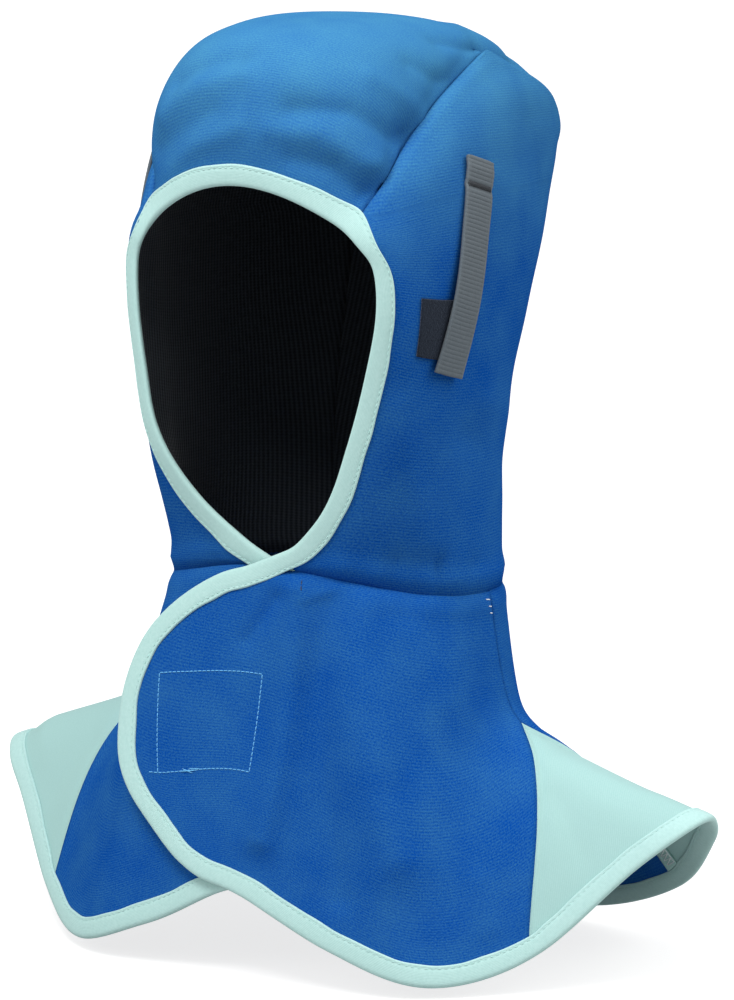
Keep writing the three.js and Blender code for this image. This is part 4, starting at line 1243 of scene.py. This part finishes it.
def strap_coordinates(half):
    """Grid of places on the side panel under a strap."""
    surface = SIDE[half].surface
    top, bottom = STRAP_ENDS[half]
    share = np.linspace(0, 1, STRAP_ROWS)[:, None]
    middle = mixed(top, bottom, share)
    straight = mixed(surface(*top), surface(*bottom), share)
    for _ in range(STRAP_PASSES):
        middle = step_on_surface(surface, *middle.T, straight - surface(*middle.T))
    down = unit(np.gradient(surface(*middle.T), axis=0))
    sideways = unit(np.cross(SIDE[half].outward(middle[:, 0], middle[:, 1]), down))
    move = sideways[:, None] * (np.linspace(-0.5, 0.5, STRAP_COLUMNS) * STRAP_WIDTH)[None, :, None]
    a, b = (np.broadcast_to(middle[:, k:k + 1], move.shape[:2]) for k in (0, 1))
    return step_on_surface(surface, a, b, move)


def strap_surface(half):
    """Inner face of a strap: down on the cloth at its tack, bowed below it, over the patch at its end."""
    coordinates = strap_coordinates(half)
    a, b = coordinates[..., 0], coordinates[..., 1]
    t = np.linspace(0, 1, STRAP_ROWS)
    lift = STRAP_LIFT + STRAP_OVER_PATCH * smooth_step(t, *STRAP_RISE)
    lift = lift + STRAP_BOW * np.sin(np.pi * np.clip((t - STRAP_TACK) / (1 - STRAP_TACK), 0, 1))
    swells = STRAP_SWELLS["height"] * bump(t[:, None] - STRAP_SWELLS["at"], STRAP_SWELLS["width"])
    lift = lift + swells.sum(-1)
    out = SIDE[half].outward(a, b)
    return SIDE[half].surface(a, b) + out * lift[:, None, None], out


def strap(name, half, material):
    """Ribbed webbing: ribs across its face that stop short of a flat selvedge at both sides."""
    points, out = strap_surface(half)
    length = lengths_of(points[:, STRAP_COLUMNS // 2])
    across = np.linspace(-1, 1, STRAP_COLUMNS)
    ribs = RIB_HEIGHT * np.sin(2 * np.pi * length / RIB_PITCH)
    height = ribs[:, None] * (1 - smooth_step(np.abs(across), *SELVEDGE_RUN))[None]
    return grid_piece(name, points + out * height[..., None], out, material, STRAP_THICKNESS, OUTSIDE)


def strap_tack(half, radius):
    """A close row of stitches that fastens a strap's top to the hood."""
    points, out = strap_surface(half)
    row = int(STRAP_TACK * STRAP_ROWS)
    columns_at = np.linspace(1, STRAP_COLUMNS - 2, TACK_STITCHES)
    lengths = np.arange(STRAP_COLUMNS)

    def line(k):
        """Places across the strap's face in one of its rows."""
        return at_length(points[k] + out[k] * (STRAP_THICKNESS + RIB_HEIGHT), lengths, columns_at)

    outward = at_length(out[row], lengths, columns_at)
    return stitches_between(line(row - TACK_REACH), line(row + TACK_REACH), outward, radius)


def loop_patch(name, half, material):
    """Patch of loop pile on the side panel, behind the strap's free end."""
    bottom = STRAP_ENDS[half][1]
    level = np.linspace(PATCH_HEIGHT, 0, PATCH_STEPS)[:, None] + bottom[0] + PATCH_ABOVE_END
    across = np.linspace(*PATCH_ACROSS, PATCH_STEPS)[None] + bottom[1]
    level, across = np.broadcast_arrays(level, across)
    out = SIDE[half].outward(level, across)
    points = SIDE[half].surface(level, across) + out * PATCH_LIFT
    return grid_piece(name, points, out, material, PATCH_THICKNESS, OUTSIDE)


# Closure between the front flaps, and the square of thread that holds it
CLOSURE_THICKNESS = 2.4
CLOSURE_LIFT = -1.3
CLOSURE_ANGLES = (-29, 1)
CLOSURE_FALLS = (0.315, 0.575)
CLOSURE_STEPS = 50
SQUARE_CORNERS = [(-28.5, 0.574), (-25.5, 0.58), (2, 0.602), (3, 0.303), (-32, 0.294), (-25.5, 0.58)]
SQUARE_SAMPLES = 40
SQUARE_PITCH = 2.4
SQUARE_COVER = 0.98

# Single stitches by their two ends on the over flap
SHOULDER_TACK = [
    ((86, 0.022), (89, 0.026)),
    ((86.5, 0.045), (89.2, 0.05)),
    ((87, 0.068), (89.4, 0.072)),
]
TAPE_END_TACK = [
    ((14.3, 0.02), (14.4, 0.034)),
    ((14.4, 0.036), (14.6, 0.05)),
]
SQUARE_TUFT = [
    ((-19, 0.586), (-13, 0.592)),
    ((-18, 0.579), (-14.5, 0.598)),
    ((-16, 0.582), (-12, 0.590)),
]


def closure_patch(name, material):
    """Square of loop pile behind the over flap."""
    falls = np.linspace(*CLOSURE_FALLS, CLOSURE_STEPS)
    angles = np.linspace(*CLOSURE_ANGLES, CLOSURE_STEPS)
    fall, angle = np.meshgrid(falls, angles, indexing="ij")
    points, out = FRONT[LEFT].dressed(np.stack([angle, fall], axis=-1))
    return grid_piece(name, points + out * CLOSURE_LIFT, out, material, CLOSURE_THICKNESS, INSIDE)


def square_stitches(radius):
    """Stitches along the square's sides on the outside of the over flap."""
    corners = np.array(SQUARE_CORNERS, float)
    stitches = []
    for start, end in zip(corners[:-1], corners[1:]):
        places = mixed(start, end, np.linspace(0, 1, SQUARE_SAMPLES)[:, None])
        points, out = FRONT[LEFT].dressed(places)
        line = points + out * CLOTH_THICKNESS / 2
        stitches.append(stitches_along(line, out, SQUARE_PITCH, SQUARE_COVER, radius))
    return stitches + [short_stitches(SQUARE_TUFT, radius)]


def short_stitches(places, radius):
    """Single stitches between pairs of places on the over flap."""
    ends, out = FRONT[LEFT].dressed(np.array(places, float))
    ends = ends + out * (CLOTH_THICKNESS / 2 + radius)
    return stitches_between(ends[:, 0], ends[:, 1], out[:, 0], radius)


# Overlocked seam allowances inside the shoulder gussets: width, the most of the gusset's width that one
# takes, thickness, gap to the cloth, fall below the gusset's point and grid
ALLOWANCE_WIDTH = 7.5
ALLOWANCE_SHARE = 0.42
ALLOWANCE_THICKNESS = 0.9
ALLOWANCE_GAP = 0.35
ALLOWANCE_START = 0.04
ALLOWANCE_ROWS = 90
ALLOWANCE_COLUMNS = 9

# Their overlock threads: pitch, lift and the column that the legs start from
ZIGZAG_PITCH = 3.0
ZIGZAG_LIFT = 0.1
ZIGZAG_COLUMN = 2


def allowance_grid(half, mirror):
    """Strip inside a gusset along one of its seams, narrower where the gusset comes to a point."""
    surface = GUSSET[half].surface
    top = GUSSET_TOP + ALLOWANCE_START
    fall = np.linspace(top, GUSSET_HEM[half].inner[0][1], ALLOWANCE_ROWS)
    angle = gusset_angle(fall)
    room = np.linalg.norm(surface(180 - angle, fall) - surface(angle, fall), axis=-1)
    width = np.minimum(ALLOWANCE_WIDTH, room * ALLOWANCE_SHARE)
    share = np.linspace(0, 1, ALLOWANCE_COLUMNS)
    reach = (180 - 2 * angle) * width / room
    angles = angle[:, None] + reach[:, None] * share[None]
    angles = 180 - angles if mirror else angles
    places = np.stack([angles, np.broadcast_to(fall[:, None], angles.shape)], axis=-1)
    points, out = GUSSET[half].dressed(places)
    return points - out * (CLOTH_THICKNESS / 2 + ALLOWANCE_GAP), -out


def zigzag(points, out, radius):
    """Overlock threads over an allowance: slanting legs and a thread along its raw edge."""
    seam, edge, up = points[:, ZIGZAG_COLUMN], points[:, -1], out[:, 0]
    length = lengths_of(edge)
    at = np.arange(0, length[-1] - ZIGZAG_PITCH, ZIGZAG_PITCH)
    lift = ALLOWANCE_THICKNESS + ZIGZAG_LIFT

    def on(line, shift):
        """Places along a line on the strip's face, moved along it."""
        return at_length(line + up * lift, length, at + shift)

    ups = at_length(up, length, at)
    return [
        stitches_between(on(edge, 0.0), on(seam, ZIGZAG_PITCH / 2), ups, radius),
        stitches_between(on(seam, ZIGZAG_PITCH / 2), on(edge, ZIGZAG_PITCH), ups, radius),
        stitches_between(on(edge, 0.0), on(edge, ZIGZAG_PITCH), ups, radius),
    ]


# Lining inside the hood: how far in it lies at the tape and away from it
LINING_THICKNESS = 1.2
LINING_NEAR = 2.4
LINING_FAR = 9.0
LINING_RUN = 30
LINING_STEP = 2


def lining_points(points, border):
    """Points of the hood drawn in towards its upright middle line, further in away from the tape."""
    distance, _ = nearest(points, border)
    depth = LINING_NEAR + (LINING_FAR - LINING_NEAR) * smooth_step(distance, 0, LINING_RUN)
    toward = -hood_outward(points)
    return points + toward * depth[..., None], toward


def hood_lining(name, track, material):
    """Knit lining of the sides and crown as one piece, its faces turned to the inside."""
    grids = [(SIDE[LEFT], side_grid(LEFT)), (CROWN, crown_grid()), (SIDE[RIGHT], side_grid(RIGHT))]
    points, faces, flat, count = [], [], [], 0
    for panel, grid in grids:
        start = 0 if panel is CROWN else TAPE_STEPS - 1
        grid = grid[::LINING_STEP, start::LINING_STEP]
        sheet, toward = lining_points(panel.surface(grid[..., 0], grid[..., 1]), track.edge)
        flat_points = sheet.reshape(-1, 3)
        quads = facing(flat_points, grid_faces(*sheet.shape[:2]), toward.reshape(-1, 3))
        points.append(flat_points)
        faces.append(quads + count)
        flat.append(flat_of(sheet))
        count += len(flat_points)
    piece = mesh_piece(name, np.concatenate(points), np.concatenate(faces), np.concatenate(flat), material)
    return thicken(piece, LINING_THICKNESS)


class Shade:
    """A shader output that can be added, taken away, multiplied and mixed."""

    def __init__(self, tree, output):
        self.tree, self.output = tree, output

    def node(self, kind, settings, values, output=0):
        """A new node: its settings are set first, then its sockets from values or links."""
        made = self.tree.nodes.new(kind)
        for key, value in settings.items():
            setattr(made, key, value)
        for key, value in values.items():
            if isinstance(value, Shade):
                self.tree.links.new(value.output, made.inputs[key])
            else:
                made.inputs[key].default_value = value
        return Shade(self.tree, made.outputs[output])

    def math(self, operation, *values):
        """A Math node on this value and others."""
        return self.node("ShaderNodeMath", {"operation": operation}, dict(enumerate((self, *values))))

    def __add__(self, other):
        return self.math("ADD", other)

    def __mul__(self, other):
        return self.math("MULTIPLY", other)

    def __sub__(self, other):
        return self.math("SUBTRACT", other)

    def __rsub__(self, other):
        return self * -1 + other

    __radd__ = __add__
    __rmul__ = __mul__

    def clipped(self):
        """Value kept from 0 to 1."""
        return self.math("MINIMUM", 1.0).math("MAXIMUM", 0.0)

    def sine(self):
        """Sine of the value."""
        return self.math("SINE")

    def wave(self, pitch):
        """Wave from 0 to 1 with a pitch in the value's units."""
        return (self * (2 * math.pi / pitch)).sine() * 0.5 + 0.5

    def between(self, low, high):
        """Colour between two by this value."""
        settings = {"data_type": "RGBA"}
        return self.node("ShaderNodeMix", settings, {0: self, 6: (*low, 1), 7: (*high, 1)}, 2)

    def scaled(self, factor):
        """Vector times a number."""
        return self.node("ShaderNodeVectorMath", {"operation": "SCALE"}, {0: self, "Scale": factor})

    def part(self, k):
        """One coordinate of a vector."""
        return self.node("ShaderNodeSeparateXYZ", {}, {0: self}, k)

    def noise(self, size, detail):
        """Cloudy value from 0 to 1 whose lumps have a size in the vector's units."""
        values = {"Vector": self, "Scale": 1 / size, "Detail": detail}
        return self.node("ShaderNodeTexNoise", {"noise_dimensions": "3D"}, values)


SHEEN_ROUGHNESS = 0.35


class Finish:
    """A material under construction: its Principled shader and its coordinates in millimetres."""

    def __init__(self, name, roughness, sheen=0.0, tint=(1, 1, 1), specular=0.3):
        self.material = bpy.data.materials.new(name)
        self.material.use_nodes = True
        self.tree = self.material.node_tree
        self.shader = self.tree.nodes["Principled BSDF"]
        self.shader.inputs["Roughness"].default_value = roughness
        self.shader.inputs["Sheen Weight"].default_value = sheen
        self.shader.inputs["Sheen Tint"].default_value = (*tint, 1)
        self.shader.inputs["Sheen Roughness"].default_value = SHEEN_ROUGHNESS
        self.shader.inputs["Specular IOR Level"].default_value = specular
        places = self.tree.nodes.new("ShaderNodeTexCoord")
        self.flat = Shade(self.tree, places.outputs["UV"]).scaled(1 / MM)
        self.place = Shade(self.tree, places.outputs["Object"]).scaled(1 / MM)

    def plain(self, colour):
        """Colour that is the same all over."""
        self.shader.inputs["Base Color"].default_value = (*colour, 1)
        return self

    def coloured(self, share, low, high):
        """Colour that runs between two by a share."""
        self.tree.links.new(share.between(low, high).output, self.shader.inputs["Base Color"])
        return self

    def bumped(self, height, depth, strength):
        """Fine relief from a height of 0 to 1 that is a depth in millimetres."""
        values = {"Height": height, "Distance": depth * MM, "Strength": strength}
        self.tree.links.new(height.node("ShaderNodeBump", {}, values).output, self.shader.inputs["Normal"])
        return self


def woven(flat, pitch):
    """Threads that go over and under: a wave along the cloth times a wave across it, from 0 to 1."""
    turn = 2 * math.pi / pitch
    return (flat.part(0) * turn).sine() * (flat.part(1) * turn).sine() * 0.5 + 0.5


# Heights between which painted light makes the blue cloth paler towards the top
PAINTED_LIGHT_LOW = -120
PAINTED_LIGHT_HIGH = -20


def blue_cloth():
    """Blue cotton satin: lines of weft, a grain of paler threads, cloudy wear, and painted top light that
    makes it paler towards the top.
    """
    finish = Finish("blue_cloth", roughness=0.8, specular=0.0)
    weft = finish.flat.part(1).wave(pitch=1.4)
    grain = finish.flat.noise(size=0.9, detail=3.0)
    clouds = finish.place.noise(size=24.0, detail=2.0)
    # Painted light: the colour turns paler higher up, standing in for the light that falls on the crown
    # from above
    painted_top_light = ((finish.place.part(2) - PAINTED_LIGHT_LOW) * (1 / (PAINTED_LIGHT_HIGH - PAINTED_LIGHT_LOW))).clipped()
    share = weft * 0.12 + grain * 0.9 + clouds * 0.35 + painted_top_light * 0.46 - 0.52
    # The pale end of this colour serves both the paler threads and the painted top light
    finish.coloured(share.clipped(), (0.002, 0.062, 0.330), (0.066, 0.262, 0.415))
    return finish.bumped(weft * 0.4 + grain * 0.6, depth=0.25, strength=0.4).material


def green_cloth():
    """Pale green cotton twill."""
    finish = Finish("green_cloth", roughness=0.85, sheen=0.15, specular=0.2)
    ribs = (finish.flat.part(0) + finish.flat.part(1)).wave(pitch=1.1)
    grain = finish.flat.noise(size=0.9, detail=3.0)
    share = ribs * 0.3 + grain * 0.7
    finish.coloured(share, (0.30, 0.53, 0.50), (0.42, 0.63, 0.61))
    return finish.bumped(ribs * 0.6 + grain * 0.4, depth=0.2, strength=0.3).material


def green_tape():
    """Pale green folded tape: fine lengthways ribs."""
    finish = Finish("green_tape", roughness=0.8, sheen=0.15, specular=0.25)
    ribs = finish.flat.part(0).wave(pitch=0.7)
    grain = finish.place.noise(size=1.4, detail=3.0)
    share = ribs * 0.25 + grain * 0.75
    finish.coloured(share, (0.37, 0.61, 0.58), (0.54, 0.77, 0.74))
    return finish.bumped(ribs * 0.4 + grain * 0.6, depth=0.25, strength=0.3).material


def black_knit():
    """Near-black rib knit: upright ribs of small loops."""
    finish = Finish("black_knit", roughness=0.9, sheen=0.1, specular=0.2)
    ribs = finish.flat.part(0).wave(pitch=2.6)
    loops = finish.flat.part(1).wave(pitch=1.5)
    share = ribs * 0.7 + loops * 0.3
    finish.coloured(share, (0.012, 0.016, 0.021), (0.046, 0.056, 0.070))
    return finish.bumped(share, depth=0.6, strength=0.6).material


def grey_webbing():
    """Grey ribbed webbing: fine threads over the woven ribs."""
    finish = Finish("grey_webbing", roughness=0.7, sheen=0.1, specular=0.35)
    threads = woven(finish.flat, pitch=0.6)
    grain = finish.flat.noise(size=0.7, detail=2.0)
    share = threads * 0.4 + grain * 0.6
    finish.coloured(share, (0.060, 0.080, 0.096), (0.150, 0.178, 0.200))
    return finish.bumped(share, depth=0.15, strength=0.4).material


def black_loop():
    """Dark loop pile: a mat of fine loops."""
    finish = Finish("black_loop", roughness=0.95, sheen=0.3, tint=(0.5, 0.6, 0.8), specular=0.15)
    pile = finish.place.noise(size=0.8, detail=3.0)
    finish.coloured(pile, (0.004, 0.006, 0.011), (0.030, 0.040, 0.060))
    return finish.bumped(pile, depth=0.7, strength=0.8).material


def thread(name, colour):
    """Sewing thread of one colour."""
    return Finish(name, roughness=0.6, sheen=0.2, specular=0.4).plain(colour).material


def declare(piece, node):
    """A sheet that stands for a solid: it goes on the root body, and the solid is hidden."""
    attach(piece, "root")
    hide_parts(node)


def add_trim(piece):
    """A row of stitches or a strip, with no solid of its own."""
    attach(piece, "root")


def sew(name, stitches, radius, material):
    """Stitches of one thread as a piece of trim."""
    add_trim(thread_piece(name, stitches, radius, material))


NAMES = {LEFT: "left", RIGHT: "right"}


def dress_hood(blue, knit, track):
    """Crown, sides and lining."""
    crown = panel_piece("crown_cloth", CROWN, crown_grid(), blue)
    declare(crown, "crown_panel")
    for half, name in NAMES.items():
        side = side_piece(f"side_cloth_{name}", half, blue)
        declare(side, f"side_panel_{name}")
    lining = hood_lining("lining_knit", track, knit)
    declare(lining, "hood_lining")


def dress_cape(blue, green):
    """Fronts, back and shoulder gussets."""
    for half, name in NAMES.items():
        front = panel_piece(f"front_cloth_{name}", FRONT[half], front_grid(half), blue)
        declare(front, f"cape_front_{name}")
        gusset = panel_piece(f"gusset_cloth_{name}", GUSSET[half], gusset_grid(half), green)
        declare(gusset, f"shoulder_gusset_{name}")
    back = panel_piece("back_cloth", BACK, back_grid(), blue)
    declare(back, "cape_back")


def sew_tape(track, tape, sewing):
    """Binding tape and its two lines of stitches."""
    piece = binding_tape(track, tape)
    length = lengths_of(np.concatenate([track.edge, track.edge[:1]]))[-1] * MM
    declare(piece, "edge_binding")
    rows = []
    for side in (1, -1):
        line = tape_point(track, STITCH_SHARE, side * STITCH_HEIGHT)
        up = side * track.inner_out
        rows.append(stitches_along(line, up, STITCH_PITCH, STITCH_COVER, TAPE_THREAD))
    sew("tape_stitches", rows, TAPE_THREAD, sewing)


def sew_straps(webbing, pile, dark):
    """Straps, their tacks and the patches behind their free ends."""
    for half, name in NAMES.items():
        piece = strap(f"webbing_strap_{name}", half, webbing)
        declare(piece, f"strap_{name}")
        patch = loop_patch(f"pile_patch_{name}", half, pile)
        declare(patch, f"loop_patch_{name}")
        stitches = [strap_tack(half, STRAP_THREAD)]
        sew(f"strap_tack_{name}", stitches, STRAP_THREAD, dark)


def sew_closure(pile, blue_thread):
    """Closure behind the over flap and its stitched square."""
    closure = closure_patch("closure_pile", pile)
    declare(closure, "closure_patch")
    stitches = square_stitches(SQUARE_THREAD)
    sew("square_stitches", stitches, SQUARE_THREAD, blue_thread)


def sew_tacks(white, dark):
    """Short stitches at the top of the shoulder seam and below the end of the face tape."""
    tacks = [
        ("shoulder_tack", SHOULDER_TACK, SHOULDER_THREAD, white),
        ("tape_end_tack", TAPE_END_TACK, TAPE_END_THREAD, dark),
    ]
    for name, places, radius, colour in tacks:
        sew(name, [short_stitches(places, radius)], radius, colour)


def sew_allowances(green, white):
    """Seam allowances inside the gussets with their overlock threads."""
    for half, name in NAMES.items():
        for mirror, place in ((False, "front"), (True, "back")):
            points, out = allowance_grid(half, mirror)
            title = f"allowance_{place}_{name}"
            strip = grid_piece(title, points, out, green, ALLOWANCE_THICKNESS, OUTSIDE)
            add_trim(strip)
            legs = zigzag(points, out, OVERLOCK_THREAD)
            sew(f"overlock_{place}_{name}", legs, OVERLOCK_THREAD, white)


# Camera: angles about the hood, above it and about its own axis in degrees, then distance, picture's
# middle, lens and sensor in millimetres, and how far it sees in metres
AZIMUTH = 29
ELEVATION = 8
ROLL = 0.6
DISTANCE = 2200
PICTURE_MIDDLE = (13, -230)
LENS = 165
SENSOR = 36
CLIP_END = 20

# Lights: the height that they are turned to, the surroundings' strength, then each light's kind, name,
# place right, up and towards the camera in metres, strength and softness
MIDDLE_HEIGHT = -0.22
WORLD_STRENGTH = 0.34
LIGHTS = [
    ("AREA", "key_light", (-0.4, 0.95, 0.8), 12.0, {"size": 0.5}),
    ("SUN", "sky_light", (0.1, 1.5, 0.6), 0.65, {"angle": math.radians(40)}),
    ("SUN", "right_light", (1.0, 0.8, 0.2), 1.55, {"angle": math.radians(50)}),
    ("SUN", "left_light", (-1.0, 0.7, 0.7), 0.5, {"angle": math.radians(30)}),
]

# Floor: half its side, how far it lies below the solids, the share of light that it throws back, and
# the colour and glow that the camera sees
FLOOR_REACH = 60000
FLOOR_DROP = 4
FLOOR_BOUNCE = (0.5, 0.5, 0.5)
FLOOR_SEEN = (0.4, 0.4, 0.4)
FLOOR_GLOW = (0.78, 0.78, 0.78)


def camera_axes():
    """Right, up and forward directions of the level camera."""
    a, e = math.radians(AZIMUTH), math.radians(ELEVATION)
    right = Vector((math.cos(a), math.sin(a), 0))
    up = Vector((-math.sin(a) * math.sin(e), math.cos(a) * math.sin(e), math.cos(e)))
    return right, up, up.cross(right)


def place_camera():
    """Long lens at the photograph's angle, turned a little about its own axis."""
    right, up, forward = camera_axes()
    target = right * PICTURE_MIDDLE[0] + up * PICTURE_MIDDLE[1]
    roll = math.radians(ROLL)
    across = right * math.cos(roll) + up * math.sin(roll)
    upward = up * math.cos(roll) - right * math.sin(roll)
    data = bpy.data.cameras.new("photo_camera")
    data.lens = LENS
    data.sensor_width = SENSOR
    data.clip_end = CLIP_END
    camera = bpy.data.objects.new("photo_camera", data)
    turned = Matrix((across, upward, -forward)).transposed().to_4x4()
    camera.matrix_world = Matrix.Translation((target - forward * DISTANCE) * MM) @ turned
    bpy.context.scene.collection.objects.link(camera)
    bpy.context.scene.camera = camera


def place_light(kind, name, offset, strength, settings):
    """Soft light at a place right, up and towards the camera from the cover, turned to its middle."""
    right, up, forward = camera_axes()
    toward = right * offset[0] + up * offset[1] - forward * offset[2]
    data = bpy.data.lights.new(name, kind)
    data.energy = strength
    for key, value in settings.items():
        setattr(data, key, value)
    light = bpy.data.objects.new(name, data)
    light.rotation_euler = toward.to_track_quat("Z", "Y").to_euler()
    light.location = toward + Vector((0, 0, MIDDLE_HEIGHT))
    bpy.context.scene.collection.objects.link(light)


def pale_floor():
    """Floor that the camera sees as an even white, and that throws light back up on the cloth."""
    finish = Finish("pale_floor", roughness=0.9, specular=0.0)
    seen = Shade(finish.tree, finish.tree.nodes.new("ShaderNodeLightPath").outputs["Is Camera Ray"])
    finish.coloured(seen, FLOOR_BOUNCE, FLOOR_SEEN)
    glow = seen.between((0, 0, 0), FLOOR_GLOW)
    finish.tree.links.new(glow.output, finish.shader.inputs["Emission Color"])
    finish.shader.inputs["Emission Strength"].default_value = 1
    return finish.material


def set_stage():
    """Pale floor, white surroundings and soft studio lights."""
    scene = bpy.context.scene
    scene.view_settings.view_transform = "Standard"
    world = bpy.data.worlds.new("white_studio")
    world.use_nodes = True
    scene.world = world
    surroundings = world.node_tree.nodes["Background"].inputs
    surroundings["Color"].default_value = (1, 1, 1, 1)
    surroundings["Strength"].default_value = WORLD_STRENGTH
    for light in LIGHTS:
        place_light(*light)
    low = SOLIDS_BOX[0][2] / MM - FLOOR_DROP
    signs = np.array([(-1, -1), (1, -1), (1, 1), (-1, 1)])
    corners = np.column_stack([signs * FLOOR_REACH, np.full(len(signs), low)])
    mesh_piece("floor", corners, np.array([[0, 1, 2, 3]]), corners[:, :2], pale_floor())


def main():
    """Dress the solids piece by piece, then set the stage."""
    track = tape_track()
    blue, green, tape = blue_cloth(), green_cloth(), green_tape()
    pile = black_loop()
    dress_hood(blue, black_knit(), track)
    dress_cape(blue, green)
    sew_tape(track, tape, thread("green_thread", (0.46, 0.70, 0.67)))
    dark = thread("dark_thread", (0.03, 0.036, 0.045))
    white = thread("white_thread", (0.75, 0.8, 0.82))
    sew_straps(grey_webbing(), pile, dark)
    sew_tacks(white, dark)
    sew_closure(pile, thread("pale_blue_thread", (0.13, 0.45, 0.80)))
    sew_allowances(green, white)
    set_stage()
    place_camera()


main()
